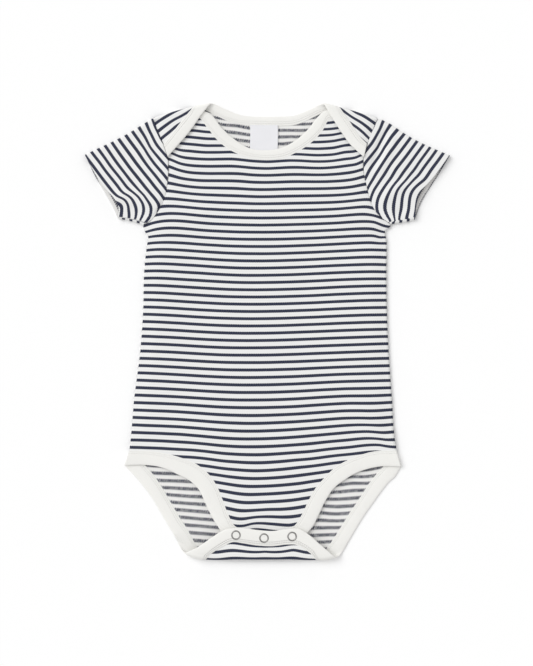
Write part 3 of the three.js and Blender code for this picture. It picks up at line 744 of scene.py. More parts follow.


# %% [markdown]
# ## Where the stripes run
# The stripes show how the cloth has stretched and shifted, so they are worth reading with care. Each table
# holds a stripe's number and a few places where it passes, read from the photograph and written in its
# picture points. A thin plate, the smoothest surface that can be bent through given heights, then counts
# the stripes everywhere between. On the flaps the places are unfolded first.

# %% Stripe places
POINT = 0.875  # millimetres of table in one picture point
MIDDLE_POINT = np.array([266.5, 333.0])
FRONT_STRIPE_POINTS = {
    -18: [(196.7, 119.2), (201, 118.8), (328.3, 122.9), (335, 121.9)],
    -17: [(195, 124.2), (204, 125.2), (325, 129.2), (338.3, 127.9)],
    -16: [(191.7, 130.4), (209, 132), (319.6, 135.4), (330, 135), (341.7, 132.9)],
    -15: [(190.4, 137), (215, 138.8), (312.9, 142.1), (328.3, 141.4), (344.6, 138.8)],
    -14: [
        (190.4, 144.2), (206.7, 145.6), (223.3, 145.6), (305, 148.2),
        (320, 148.6), (335, 147.5), (344.6, 145.4),
    ],
    -13: [
        (178, 149.5), (190, 151), (210, 152.3), (232, 152), (295.8, 154.2),
        (318.3, 155.2), (335, 154.2), (344.6, 152.1), (356, 151),
    ],
    -12: [
        (171.5, 153), (180, 156.5), (190, 158.3), (210, 159.3), (230, 159), (250, 160.8), (268, 161.7),
        (290, 160.5), (300, 160.7), (320, 161.5), (335, 160.5), (350, 158.5), (357, 157), (360, 155.5),
    ],
    -11: [
        (169, 159), (180, 163.5), (195, 165.8), (230, 166.2), (260, 168.3),
        (320, 168.2), (350, 165.3), (357, 164), (363, 161),
    ],
    -10: [
        (168, 166), (180, 170.3), (200, 173.2), (240, 173.8),
        (270, 175.3), (320, 174.8), (350, 172.6), (364, 168.8),
    ],
    -9: [
        (168, 174.5), (180, 178), (200, 180.5), (250, 182),
        (290, 181.7), (345, 180.5), (355, 179), (365, 176),
    ],
    -7: [
        (167, 190.7), (180, 192.4), (200, 194.5), (260, 196.7),
        (300, 196), (340, 195), (355, 193.5), (366, 192),
    ],
    -5: [
        (165, 206.3), (175, 206.3), (200, 208.5), (260, 210.8),
        (300, 210.2), (340, 208.8), (368, 207), (372, 208),
    ],
    -4: [(157, 215), (175, 213.6), (260, 218), (366, 214.5), (380, 217.7)],
    -3: [
        (144, 226), (151, 223.5), (160, 221.5), (180, 221),
        (260, 225.2), (355, 221.8), (375, 222.3), (389, 226.7),
    ],
    -2: [
        (146, 231.8), (155, 229.5), (170, 228), (200, 230),
        (260, 232.2), (330, 230.3), (370, 228.8), (384, 232),
    ],
    -1: [(149.5, 236.8), (160, 235.7), (180, 235.6), (365, 235.7), (375, 236), (380, 237.4), (385, 237)],
    0: [
        (147.5, 243.5), (170, 242.5), (200, 244.3), (240, 246.3),
        (270, 246.5), (310, 245.3), (350, 243.4), (386, 243.3),
    ],
    3: [
        (145.5, 264), (180, 264.6), (200, 265.8), (240, 268),
        (290, 267.5), (330, 265.8), (350, 265), (386, 264.7),
    ],
    7: [(144.2, 292.5), (180, 294), (220, 296.3), (260, 297), (310, 295.7), (350, 293.8), (386, 293)],
    11: [(142.5, 321.5), (180, 323.2), (220, 325.4), (250, 326), (310, 324.5), (350, 322.9), (387, 322)],
    15: [(140.5, 351), (180, 352.6), (220, 354.8), (250, 355.2), (310, 353.7), (350, 352.2), (388, 351)],
    19: [(137.3, 380.2), (180, 382.2), (220, 384.4), (250, 385), (310, 383.2), (350, 381.3), (390, 380.5)],
    22: [(135, 402.7), (180, 404.4), (220, 407), (250, 407.7), (310, 405.5), (350, 403.3), (390, 402.5)],
    24: [
        (133, 417.5), (180, 419.5), (220, 422.3), (250, 423.4),
        (310, 420.8), (350, 418), (370, 418.2), (392, 417.2),
    ],
    26: [
        (131.5, 432.5), (180, 434.3), (220, 437.8), (255, 438.9), (310, 435.8),
        (350, 432.3), (368, 431.5), (380, 432.5), (393, 432),
    ],
    27: [(130.8, 440), (180, 442), (260, 446.7), (350, 439.8), (372, 438.4), (385, 439.8), (395, 439.7)],
    28: [
        (129.5, 447.3), (180, 449.4), (220, 453), (260, 454.7),
        (310, 451.5), (350, 447.2), (380, 445), (393, 447),
    ],
    30: [(198, 465), (220, 468), (240, 470), (260, 470.7), (300, 467.3), (340, 462.3)],
    32: [(215, 482), (240, 485.8), (260, 486.3), (300, 483.4), (320, 480.3)],
    34: [(223, 499), (240, 502.2), (260, 502.2), (280, 501.2), (308, 497.8)],
    35: [(227, 508.2), (245, 510.8), (260, 510), (280, 509.3), (304, 506.5)],
    36: [(230, 517), (237, 518.7), (270, 516.7), (285, 517), (300, 515.6)],
    37: [(235.5, 525.8), (245, 525.6), (268, 523.7), (290, 525.2), (296, 524)],
    38: [(252, 529.5), (268, 530.5)],
}
BACK_STRIPE_POINTS = {
    -3: [(204, 110), (212, 112), (315.8, 117.1), (318, 115.8)],
    -2: [(213, 116.5), (222, 118.3), (301.7, 123.8), (313.3, 123.3)],
    -1: [(219, 123.5), (236.7, 125.4), (248, 127.5), (285, 130), (297.5, 130.2), (307.5, 129.8)],
    0: [(226, 131.3), (240, 133.3), (248, 134.3), (285, 136.5), (300.8, 136.5)],
    1: [(234, 139.2), (243.3, 140.4), (285, 143.5), (289, 142.9)],
    45: [(145, 465.5), (165, 466.5), (364, 470.5), (381.5, 467.4)],
    47: [(158.7, 480.7), (193.7, 481.9), (337, 485.4), (353, 483.6), (370, 483.3)],
    49: [(168, 495), (185, 496.4), (204.4, 497.4), (326, 499.3), (343, 499.3), (360, 497.9)],
    51: [(177.3, 510), (193.7, 511.4), (211, 512.9), (319, 513), (334, 514.3), (349, 513.6)],
    53: [(186, 525.4), (202.3, 526.7), (218.7, 528.1), (311.5, 528.6), (326, 528.1), (340.7, 527.9)],
    55: [(193.7, 540.7), (204.4, 541.2), (318.6, 542.8), (333, 542.1)],
}
CROTCH_STRIPE_POINTS = {
    58: [(207.5, 558.7), (233, 557.7), (265, 558), (293, 557.7), (313, 559.5)],
    59: [(217, 551.7), (233, 550), (265, 551), (293, 549.5), (305, 551.7)],
    60: [(231.7, 542.2), (250, 545), (265, 546.2), (283, 545), (292, 543.7)],
}
LEFT_SHOULDER_POINTS = {
    -3: [(155.5, 123.5), (165, 117.5), (175, 111.7)],
    -4: [(158.5, 131), (170, 122.5), (180, 117)],
    -5: [(161.5, 138.5), (171, 131), (178, 125)],
}
RIGHT_SHOULDER_POINTS = {
    -3: [(355, 112.3), (362, 115.5), (368, 119), (375, 123.5)],
    -4: [(348, 114.5), (360, 122), (371.5, 131)],
    -5: [(351.5, 124), (361, 131), (369, 138.5)],
    -6: [(366.5, 143.5)],
}
LEFT_SLEEVE_POINTS = {
    -1: [(121.5, 206), (121, 216)],
    0: [
        (85.5, 156), (95, 168.5), (105, 182), (113, 192), (118, 196.5),
        (123, 198.7), (127, 203), (128.5, 210), (129, 218),
    ],
    1: [
        (91.5, 152), (100, 163), (110, 176.5), (118, 186.5),
        (124, 193.5), (130.5, 197.5), (134, 203), (135.5, 218),
    ],
    2: [
        (97.5, 148), (110, 165.5), (120, 178), (130, 190),
        (138, 196.5), (142.5, 203), (143.7, 210), (140.5, 219.5),
    ],
    3: [(105, 145.5), (120, 167), (130, 180), (140, 191.5), (147, 200), (151, 208), (150, 216), (144, 225)],
    4: [(112, 142.5), (130, 168), (140, 180.5), (150, 193), (157, 201.5), (159.5, 208), (158, 212)],
    5: [(119, 139.5), (140, 168), (150, 180.5), (160, 193), (164, 199)],
    6: [(126, 135.5), (140, 155), (150, 169), (160, 181.5), (165.5, 188.5)],
    7: [(132.5, 131.5), (145, 149.5), (155, 164.5), (166.5, 178)],
    8: [(139, 127.5), (145, 137), (150, 147), (158, 157), (167.5, 168)],
    9: [(146, 122.5), (149.5, 131), (154, 140), (160, 149), (166.5, 156.5)],
    10: [(152.5, 119), (155, 126), (158, 132), (161.5, 139)],
}
RIGHT_SLEEVE_POINTS = {
    0: [(450, 156.7), (440.5, 170.7), (433.7, 180.4), (423.2, 190), (417.5, 200), (416, 210), (414.7, 218)],
    1: [(443.5, 153), (431, 170), (424, 180), (413, 190), (409.5, 200), (408.5, 210), (406.5, 220)],
    2: [(436.5, 150), (422, 170), (413.5, 180), (405, 190), (402, 200), (401, 210), (399, 220)],
    3: [(430, 147.5), (414, 170), (406, 180), (397.5, 190), (394.5, 200), (393.5, 210), (394.5, 218)],
    4: [(424, 144), (405, 170), (398, 180), (390.5, 190), (386, 200), (385, 210), (388, 217), (391, 222)],
    5: [(417.5, 140.5), (395.5, 170), (389.5, 180), (382.5, 190), (377.5, 200), (377, 210), (380, 217)],
    6: [(411, 137), (403, 148), (387, 170), (380.5, 180), (374, 190), (370.5, 200)],
    7: [(404.5, 133.5), (393.5, 148), (378.5, 170), (372.5, 180), (367, 190)],
    8: [(398, 129), (391, 137.5), (384, 148), (369.5, 170), (366, 177)],
    9: [(390.5, 124.5), (386, 131.5), (377.5, 147.5), (370, 157), (364.5, 164)],
    10: [(383.5, 120.5), (380, 129), (375, 138), (368.5, 147.5), (364.5, 152.5)],
}


# %% Counting stripes
def places(table, unfold=None):
    """A table's places in millimetres, x and y as seen (or on the flat pattern), and their stripe numbers."""
    seen = np.array([p for row in table.values() for p in row], float)
    count = np.array([k for k, row in table.items() for _ in row], float)
    at = (seen - MIDDLE_POINT) * [POINT, -POINT]
    return (unfold(at) if unfold else at), count


def plate_bend(a, b):
    """The bend between each point of a and each of b: r squared times the logarithm of r, where r is their
    distance in tenths of a metre."""
    squared = ((a[:, None] - b[None]) ** 2).sum(-1) / 1e4
    return squared * np.log(squared + 1e-9) / 2


def thin_plate(at, count, ease=3.0):
    """Bends a plate through the counts: a plane plus, for each place, a weight times r squared log r; ease
    lets it miss a place a little where two disagree. Gives the count at any point."""
    n = len(at)
    plane = np.hstack([np.ones((n, 1)), at / 100])
    big = np.zeros((n + 3, n + 3))
    big[:n, :n] = plate_bend(at, at) + np.eye(n) * ease * 1e-4
    big[:n, n:], big[n:, :n] = plane, plane.T
    weights = np.linalg.solve(big, np.concatenate([count, np.zeros(3)]))

    def read(p):
        """The count at points p: the plane there plus the sum of all weighted bends."""
        flat = p.reshape(-1, 2)
        plane = np.hstack([np.ones((len(flat), 1)), flat / 100]) @ weights[n:]
        parts = np.array_split(flat, max(1, len(flat) // 4000))
        bends = np.concatenate([plate_bend(part, at) @ weights[:n] for part in parts])
        return (plane + bends).reshape(p.shape[:-1])

    return read


front_count = thin_plate(*places(FRONT_STRIPE_POINTS))
back_places = [
    places(BACK_STRIPE_POINTS),
    places(CROTCH_STRIPE_POINTS, crotch.unfold),
    places(LEFT_SHOULDER_POINTS, shoulder_left.unfold),
    places(RIGHT_SHOULDER_POINTS, shoulder_right.unfold),
]
back_count = thin_plate(np.vstack([a for a, _ in back_places]), np.concatenate([c for _, c in back_places]))
sleeve_left_count = thin_plate(*places(LEFT_SLEEVE_POINTS))
sleeve_right_count = thin_plate(*places(RIGHT_SLEEVE_POINTS))
print("stripes read at", sum(len(r) for r in FRONT_STRIPE_POINTS.values()), "places on the front")

# %% [markdown]
# ## Folds and creases
# Nothing that has been worn and washed lies quite flat. Each soft ridge or hollow is a line with a width and
# a height that fades at both ends. They are uneven on purpose, and follow the creases of the real garment.

# %% Creases
FRONT_CREASES = [
    # x1, y1, x2, y2, half width, height
    (-98, 88, -40, 118, 13, 0.55),
    (97, 90, 45, 125, 13, 0.5),
    (-70, 40, -60, -70, 22, -0.35),
    (55, 60, 78, -60, 24, 0.45),
    (-10, 120, 10, 20, 26, 0.35),
    (88, -62, 104, -98, 10, 0.45),
    (-60, -60, -15, -150, 20, 0.4),
    (-84, 112, -66, 150, 6, 0.35),
    (82, 118, 66, 152, 6, 0.35),
    (-102, 74, -70, 66, 5, 0.3),
    (102, 70, 72, 58, 5, 0.28),
    (-30, 96, 34, 88, 7, 0.22),
    (-52, 10, 20, -4, 8, 0.2),
    (12, -60, 86, -74, 8, 0.26),
    (-88, -84, -40, -92, 6, 0.24),
    (-22, -118, 22, -112, 6, 0.2),
    (-20, -140, -4, -160, 5, 0.25),
    (18, -138, 8, -162, 5, 0.22),
    (72, -66, 108, -82, 4, 0.45),
    (-100, 20, -78, 12, 5, 0.3),
    (-104, -30, -70, -38, 6, -0.3),
    (100, 24, 84, 36, 4, 0.3),
    (30, 40, 60, 30, 9, -0.35),
    (-40, -28, 8, -44, 9, 0.35),
    (-30, 70, -56, 92, 7, -0.3),
]
BACK_CREASES = [
    (-83, -124, -75, -156, 3.5, 0.4),
    (-66, -130, -60, -166, 4, 0.25),
    (-98, -110, -88, -132, 4, 0.25),
    (84, -122, 73, -152, 4, 0.35),
    (62, -134, 54, -160, 4, 0.25),
    (22, 172, 34, 186, 4, 0.2),
]
YOKE_CREASES = [
    (60, 190, 83, 155, 5, -0.5),
    (-61, 190, -84, 156, 5, -0.5),
    (20, 146, 78, 142, 6, 0.25),
    (-74, 150, -14, 140, 5, 0.25),
]
CREASE_GAIN = 1.4  # makes all creases of a table stronger or weaker together


def creases(rows, x, y):
    """The sum of all creases: each a bell across its line, faded from a fifth inside each end to a little
    past it."""
    total = np.zeros_like(x)
    for x1, y1, x2, y2, width, height in rows:
        away, t = to_segment(x, y, x1, y1, x2, y2)
        ends = smooth((t + 0.15) / 0.35) * smooth((1.15 - t) / 0.35)
        total += CREASE_GAIN * height * ends * np.exp(-((away / width) ** 2))
    return total


def front_height(x, y):
    """Height of the front's middle surface: low at the side seams and under the flaps, level between, plus
    its creases."""
    low = np.minimum(y, ARMPIT_Y)
    aside = np.where(y < 108, np.minimum(x - left_edge(low), right_edge(low) - x), SIDE_ROLL)
    side = 1 - smooth(aside / SIDE_ROLL)
    opened = smooth((y - LEG_Y) / 25) * smooth((112 - y) / 18)
    z = lerp(FRONT_Z, YOKE_Z, smooth((y - 140) / 28))
    z = lerp(z, SIDE_Z, side * opened)
    leg = smooth((np.abs(x) - 60) / 45) * (1 - smooth((y - LEG_Y) / 25))
    z = lerp(z, YOKE_Z, leg)
    calm = smooth(aside / 30) * (1 - smooth((y - 120) / 30)) * smooth((y + 160) / 40)
    return z + calm * creases(FRONT_CREASES, x, y) + smooth((y - 118) / 20) * creases(YOKE_CREASES, x, y)


def seam_dip(x, y, depth=0.7, width=2.2):
    """How far cloth is pulled down beside the armhole seams: a bell across the seam line."""
    away = np.minimum(np.abs(x - left_edge(y)), np.abs(x - right_edge(y)))
    return depth * np.exp(-((away / width) ** 2)) * smooth((y - 92) / 8)


# %% [markdown]
# ## Front panel
# The front is a patch between four edges: leg and crotch below, side seams and armholes left and right, and
# the neckline above. Rows run straight across, and the shapes of the lower and upper edge fade into them.


# %% Front panel
def calmed(edge, reach=24):
    """An edge averaged over its neighbours with bell-shaped weights, and held at both ends."""
    weights = np.exp(-((np.arange(-reach, reach + 1) / (reach / 2)) ** 2))
    padded = np.pad(edge, ((reach, reach), (0, 0)), mode="edge")
    average = np.stack([np.convolve(padded[:, k], weights / weights.sum(), "valid") for k in (0, 1)], 1)
    order = np.arange(len(edge))
    inside = smooth(np.minimum(order, order[::-1]) / reach)[:, None]
    return lerp(edge, average, inside)


def patch(bottom, top, left, right, share):
    """A grid between four edges: straight across between the calmed sides, plus what each side differs from
    its calmed line, fading with the sixth power; plus the bottom's own shape faded out upwards and the top's
    own shape faded out downwards."""
    u = np.linspace(0, 1, len(bottom))[None, :, None]
    v = share[:, None, None]
    own = lambda line: line[None] - lerp(line[:1], line[-1:], u[0])[None]
    sides = [(edge[:, None], calmed(edge)[:, None]) for edge in (left, right)]
    (left_own, left_calm), (right_own, right_calm) = sides
    across = lerp(left_calm, right_calm, u)
    across = across + (left_own - left_calm) * (1 - u) ** 6 + (right_own - right_calm) * u**6
    return across + (1 - v) * own(bottom) + v * own(top)


COLUMNS, ROWS = 150, 180
leg_rails = stations(FRONT_LEG, COLUMNS)
neck_rails = stations(FRONT_NECK, COLUMNS)
bottom, top = under(leg_rails), under(neck_rails)
share = np.linspace(0, 1, ROWS)
heights = lambda k: lerp(bottom[k, 1], top[k, 1], share)
left = np.stack([left_edge(heights(0)), heights(0)], 1)
right = np.stack([right_edge(heights(-1)), heights(-1)], 1)
flat = patch(bottom, top, left, right, share)
x, y = flat[..., 0], flat[..., 1]
z = front_height(x, y) - seam_dip(x, y)
front = piece(
    "front_jersey",
    [np.dstack([flat, z])],
    [right_side, wrong_side],
    [np.dstack([x / STRIPE_MM, front_count(flat)])],
)
thicken(front, SHELL, inner=1)
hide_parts("front_panel")
print("front:", COLUMNS * ROWS, "points")

# %% [markdown]
# ## Back panel
# The back is the same kind of patch on the flat pattern, with a small flap patch beyond each shoulder fold.
# The fold maths then lays it in space: inside out on the table under the front, right side out on the flaps.


# %% Back strips on the pattern
def round_fold(flat_rail, flap_rail, bend, steps):
    """Stations round a fold: each edge of the strip goes straight from the last flat station to the first
    flap station, read at even steps of distance past the fold line."""
    d = np.linspace(0, bend.turn, steps)
    sides = []
    for k in (0, 1):
        c0, d0 = bend.local(flat_rail[k])
        c1, d1 = bend.local(flap_rail[k])
        sides.append(bend.world(lerp(c0, c1, (d - d0) / (d1 - d0)), d))
    return np.stack(sides, 1)


def unfolded(rows, bend):
    """A flap's table, seen folded, as it lies on the flat pattern: both edges of each row turned back."""
    rows = np.asarray(rows, float)
    return np.hstack([bend.unfold(rows[:, :2]), bend.unfold(rows[:, 2:])])


SHOULDER_STEPS, CROTCH_STEPS = 14, 18  # stations round a fold
FLAP_STATIONS, LEG_STATIONS = 45, 90
flap_left = stations(unfolded(BACK_NECK["left"], shoulder_left), FLAP_STATIONS)
flap_right = stations(unfolded(BACK_NECK["right"], shoulder_right), FLAP_STATIONS)
back_neck = stations(BACK_NECK["back"], 100)
bend_left = round_fold(back_neck[0], flap_left[-1], shoulder_left, SHOULDER_STEPS)
bend_right = round_fold(back_neck[-1], flap_right[0], shoulder_right, SHOULDER_STEPS)
neck_strip = np.vstack([flap_left, bend_left[::-1], back_neck, bend_right, flap_right])

leg_flap = stations(unfolded(BACK_LEG["flap"], crotch), LEG_STATIONS)
leg_left = stations(BACK_LEG["left"], LEG_STATIONS)
leg_right = stations(BACK_LEG["right"], LEG_STATIONS)
crotch_left = round_fold(leg_left[-1], leg_flap[0], crotch, CROTCH_STEPS)
crotch_right = round_fold(leg_right[0], leg_flap[-1], crotch, CROTCH_STEPS)[::-1]
leg_strip = np.vstack([leg_left, crotch_left, leg_flap, crotch_right, leg_right])
print("back neck strip at", len(neck_strip), "stations, back leg strip at", len(leg_strip))

# %% Edges of the flat pattern
TAB = 20  # stations of the flap at each end that belong to the leg edges
FLAP_CELLS, NECK_CELLS = 26, 80  # squares across each shoulder fold, and along the neckline
HEAD_Y = np.array([186.0])  # height at which an armhole meets its shoulder fold
edge_left = np.vstack([under(leg_flap[:TAB])[::-1], under(crotch_left)[::-1], under(leg_left)[::-1]])
edge_right = np.vstack([under(leg_flap[-TAB:]), under(crotch_right), under(leg_right)])
band = under(leg_flap[TAB - 1 : len(leg_flap) - TAB + 1])
seam_left, seam_right = under(bend_left), under(bend_right)
head = lambda bend, edge: bend.local(np.array([edge(HEAD_Y)[0], HEAD_Y[0]]))[0]
head_left, head_right = head(shoulder_left, left_edge), head(shoulder_right, right_edge)
start_left = shoulder_left.local(seam_left[0])[0]
start_right = shoulder_right.local(seam_right[0])[0]
line = lambda bend, c0, c1: bend.world(np.linspace(c0, c1, FLAP_CELLS + 1), np.zeros(FLAP_CELLS + 1))
neck_edge = np.vstack([seam_left[:1], under(back_neck), seam_right[:1]])
neck_line = along(neck_edge, np.linspace(0, 1, NECK_CELLS + 1))
fold_left = line(shoulder_left, head_left, start_left)
fold_right = line(shoulder_right, start_right, head_right)
top_line = np.vstack([fold_left, neck_line[1:-1], fold_right])
bottom_line = along(band, np.linspace(0, 1, len(top_line)))
print("upper and lower edge of the pattern:", len(top_line), "points each")


# %% Main patch
SIDE_STEPS = 130  # rows from the leg corner up to the shoulder fold
LOW_ROWS = 24.0  # rows over which the crotch edge's own shape fades out


def back_edge(legs, edge, top):
    """A side of the back: the leg edge point by point, then the side seam and armhole by even heights."""
    y = np.linspace(legs[-1, 1], top[1], SIDE_STEPS + 1)[1:]
    side = np.stack([edge(y), y], 1)
    side[-1] = top
    return np.vstack([legs, side])


left = back_edge(edge_left, left_edge, top_line[0])
right = back_edge(edge_right, right_edge, top_line[-1])
middle_y = (left[:, 1] + right[:, 1]) / 2
rise = np.clip((middle_y - middle_y[0]) / (middle_y[-1] - middle_y[0]), 0, 1)
low = np.maximum(0, 1 - np.arange(len(left)) / LOW_ROWS)
u = np.linspace(0, 1, len(top_line))[None, :, None]
own = lambda edge: (edge - lerp(edge[0], edge[-1], u[0]))[None]
fade = np.where(np.arange(len(left)) == len(left) - 1, 1.0, rise**3)
main = (
    lerp(left[:, None], right[:, None], u)
    + np.stack([low, low**2], 1)[:, None] * own(bottom_line)
    + fade[:, None, None] * own(top_line)
)


# %% Shoulder flaps
FLAP_ROWS = 30  # rows from the fold down to the tip


def flap_grid(bend, head, seam, strip, tip, mirrored):
    """A shoulder flap: rows parallel to its fold, from the armhole side to the bound edge, down to the tip
    where the strip meets the armhole."""
    tip_c, tip_d = bend.local(tip)
    on_top = np.linspace(bend.turn, tip_d, FLAP_ROWS)[1:]
    d = np.concatenate([np.linspace(0, bend.turn, SHOULDER_STEPS), on_top])
    bound = np.vstack([seam, under(strip)])
    bound_c, bound_d = bend.local(bound)
    order = np.argsort(bound_d)
    inner = np.interp(d, bound_d[order], bound_c[order])
    t = np.clip((d - bend.turn) / (tip_d - bend.turn), 0, 1)
    arm = lerp(head, tip_c, 0.5 * smooth(t) + 0.5 * t)
    inner[-1] = arm[-1]
    c = lerp(arm[:, None], inner[:, None], np.linspace(0, 1, FLAP_CELLS + 1)[None])
    made = bend.world(c, np.broadcast_to(d[:, None], c.shape))
    return made[:, ::-1] if mirrored else made


flap_a = flap_grid(shoulder_left, head_left, seam_left, flap_left[::-1], under(flap_left)[0], False)
flap_b = flap_grid(shoulder_right, head_right, seam_right, flap_right, under(flap_right)[-1], True)


# %% Back panel in space
def back_grid(pattern):
    """Lays a pattern grid in space, lifts the few creases seen in the openings, and draws the flaps' edges
    down to the armhole seam."""
    made = put_back(pattern, 0.0)
    share = fold_share(pattern)
    x, y = made[..., 0], made[..., 1]
    flap = (share > 0.99) & (y > 0)
    near = np.minimum(np.abs(x - left_edge(y)), np.abs(x - right_edge(y)))
    made[..., 2] -= np.where(flap, 1.1 * (1 - smooth(near / 9)) + seam_dip(x, y, 0.5), 0)
    made[..., 2] += np.where(share <= 0, creases(BACK_CREASES, x, y), 0)
    return made


grids = [main, flap_a, flap_b]
back = piece(
    "back_jersey",
    [back_grid(g) for g in grids],
    [right_side, wrong_side],
    [np.dstack([g[..., 0] / STRIPE_MM, back_count(g)]) for g in grids],
    flip=True,
)
thicken(back, SHELL, inner=1)
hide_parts("back_panel")
print("back:", sum(g.shape[0] * g.shape[1] for g in grids), "points in three patches")

# %% [markdown]
# ## Rib strips
# Each edge is bound with a strip of rib, folded over the raw edge and stitched. A strip is its own rounded
# section, carried along its two edges. The sewn line is a shallow groove beside the cloth, and the folded
# edge is full and round.

# %% Rib strips
SECTION = 24  # points round a strip's section


def strip_grid(rails, put, thick=RIB, groove=0.22):
    """Carries a flattened round section along a strip: half its thickness times a root of the sine makes the
    round edges, less a groove beside the sewn line."""
    a = np.linspace(0, 2 * math.pi, SECTION, endpoint=False)
    w = 0.5 - 0.5 * np.sign(np.cos(a)) * np.abs(np.cos(a)) ** 0.75
    h = np.sign(np.sin(a)) * np.abs(np.sin(a)) ** 0.6 * thick / 2
    h = h * (1 - groove * np.exp(-(((w - 0.14) / 0.06) ** 2)) * (np.sin(a) > 0))
    width = np.linalg.norm(rails[:, 1] - rails[:, 0], axis=1)
    p = lerp(rails[:, None, 0], rails[:, None, 1], w[None, :, None])
    run = np.concatenate([[0], np.cumsum(np.linalg.norm(np.diff(rails.mean(1), axis=0), axis=1))])
    cloth = np.dstack([np.broadcast_to(run[:, None], p.shape[:2]), w[None] * width[:, None]])
    return put(p, np.broadcast_to(h, p.shape[:2])), cloth, run[-1], width.mean()


def capped(grid):
    """Closes both ends of a strip with a ring shrunk to its middle point."""
    first, last = (np.broadcast_to(grid[k].mean(0), grid[:1].shape) for k in (0, -1))
    return np.concatenate([first, grid, last])


def put_front(p, h):
    """Lays strip points on the front: the height of its middle surface there, plus h."""
    x, y = p[..., 0], p[..., 1]
    return np.dstack([x, y, front_height(x, y) + h])


def put_back_rib(p, h):
    """Lays strip points on the back: half the extra thickness up on the table, and down on a flap."""
    proud = (RIB - CLOTH) / 2
    return put_back(p, h + lerp(proud, -proud, fold_share(p)))


STRIPS = [
    ("front_leg_rib", "front_leg_binding", stations(FRONT_LEG, 320), put_front, "front_jersey", False),
    ("front_neck_rib", "front_neck_binding", stations(FRONT_NECK, 260), put_front, "front_jersey", True),
    ("back_neck_rib", "back_neck_binding", neck_strip, put_back_rib, "back_jersey", True),
    ("back_leg_rib", "back_leg_binding", leg_strip, put_back_rib, "back_jersey", False),
]
for name, node, rails, put, rests, flip in STRIPS:
    grid, cloth, length, width = strip_grid(rails, put)
    made = piece(
        name,
        [capped(grid)],
        off_white_rib,
        [np.concatenate([cloth[:1], cloth, cloth[-1:]])],
        flip=flip,
        ring=True,
    )
    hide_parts(node)
    round(width * MM, 4)
    round(length * MM, 3)
    print(name, round(length), "mm long,", round(width, 1), "mm wide")

# %% [markdown]
# ## Sleeves
# A sleeve is a short tube pressed flat. Each ring is a long loop: the front layer, a round fold at the
# underarm seam, the back layer on the table, and the fold along the top. Near the underarm the front layer
# buckles, which bends its stripes.

# %% Sleeve tables
SLEEVES = {
    # upper: the fold along the top, from the armhole; hem_front, hem_back: the hem of both layers, from the
    # top fold; under: the underarm seam, from the armpit; crease: the buckle; start: the hem's stripe count
    "left": {
        "side": -1,
        "start": 0.27,
        "upper": [(-99.5, 188.5), (-111.5, 181), (-123, 174), (-135, 167.8), (-147.5, 162), (-159.2, 156.3)],
        "hem_front": [
            (-159.2, 156.3), (-152.5, 144.5), (-142, 128.5), (-131.5, 117.5), (-127.5, 110), (-127.5, 100)
        ],
        "hem_back": [(-159.2, 156.3), (-150.5, 138), (-142, 123.5), (-134.5, 110), (-130, 100)],
        "under": [(-108, 93.7), (-111, 95.5), (-117.5, 97.5), (-124, 99), (-130, 100)],
        "crease": [(-130, 118), (-122, 121), (-112.5, 120), (-104.5, 116.5), (-95, 112)],
        "creases": [
            (-108, 178, -96, 146, 5, -0.5),
            (-146, 150, -124, 126, 5, 0.35),
            (-128, 158, -108, 132, 7, -0.3),
            (-118, 112, -108, 100, 3.5, -0.5),
        ],
    },
    "right": {
        "side": 1,
        "start": 0.1,
        "upper": [(97.8, 188.5), (109, 183), (119.5, 175.8), (131.5, 168.8), (144, 162.8), (160.7, 155.6)],
        "hem_front": [(160.7, 155.6), (152.5, 144), (144, 133.5), (135.5, 124), (132, 115), (130, 99)],
        "hem_back": [(160.7, 155.6), (153, 142.5), (144.5, 129.5), (136, 115.5), (129.7, 99)],
        "under": [(109, 95), (112.5, 95.7), (118, 96.5), (124, 97.5), (129.7, 99)],
        "crease": [(134.5, 124), (129, 127), (122, 130.5), (115, 127), (103.5, 118)],
        "creases": [
            (107, 181, 92, 144, 4, -1.3),
            (113, 174, 99, 140, 4, 0.7),
            (148, 148, 126, 136, 5, -0.3),
            (124, 160, 110, 138, 6, 0.3),
            (122, 112, 112, 100, 3.5, -0.5),
        ],
    },
}
SLEEVE_STRIPE = 6.6  # stripe repeat measured square to the hem
HEM_ACROSS = np.array([0.819, 0.574])  # direction square to the hem
SLEEVE_TOP, SLEEVE_LOW = 187.6, 94.8  # heights of the armhole's two ends
RINGS = 90  # from the armhole to the hem
FRONT_STEPS, BACK_STEPS, TURN_STEPS = 90, 40, 9  # points of a ring on each layer and round each fold
BUCKLE_HIGH, BUCKLE_WIDE = 1.5, 6.5


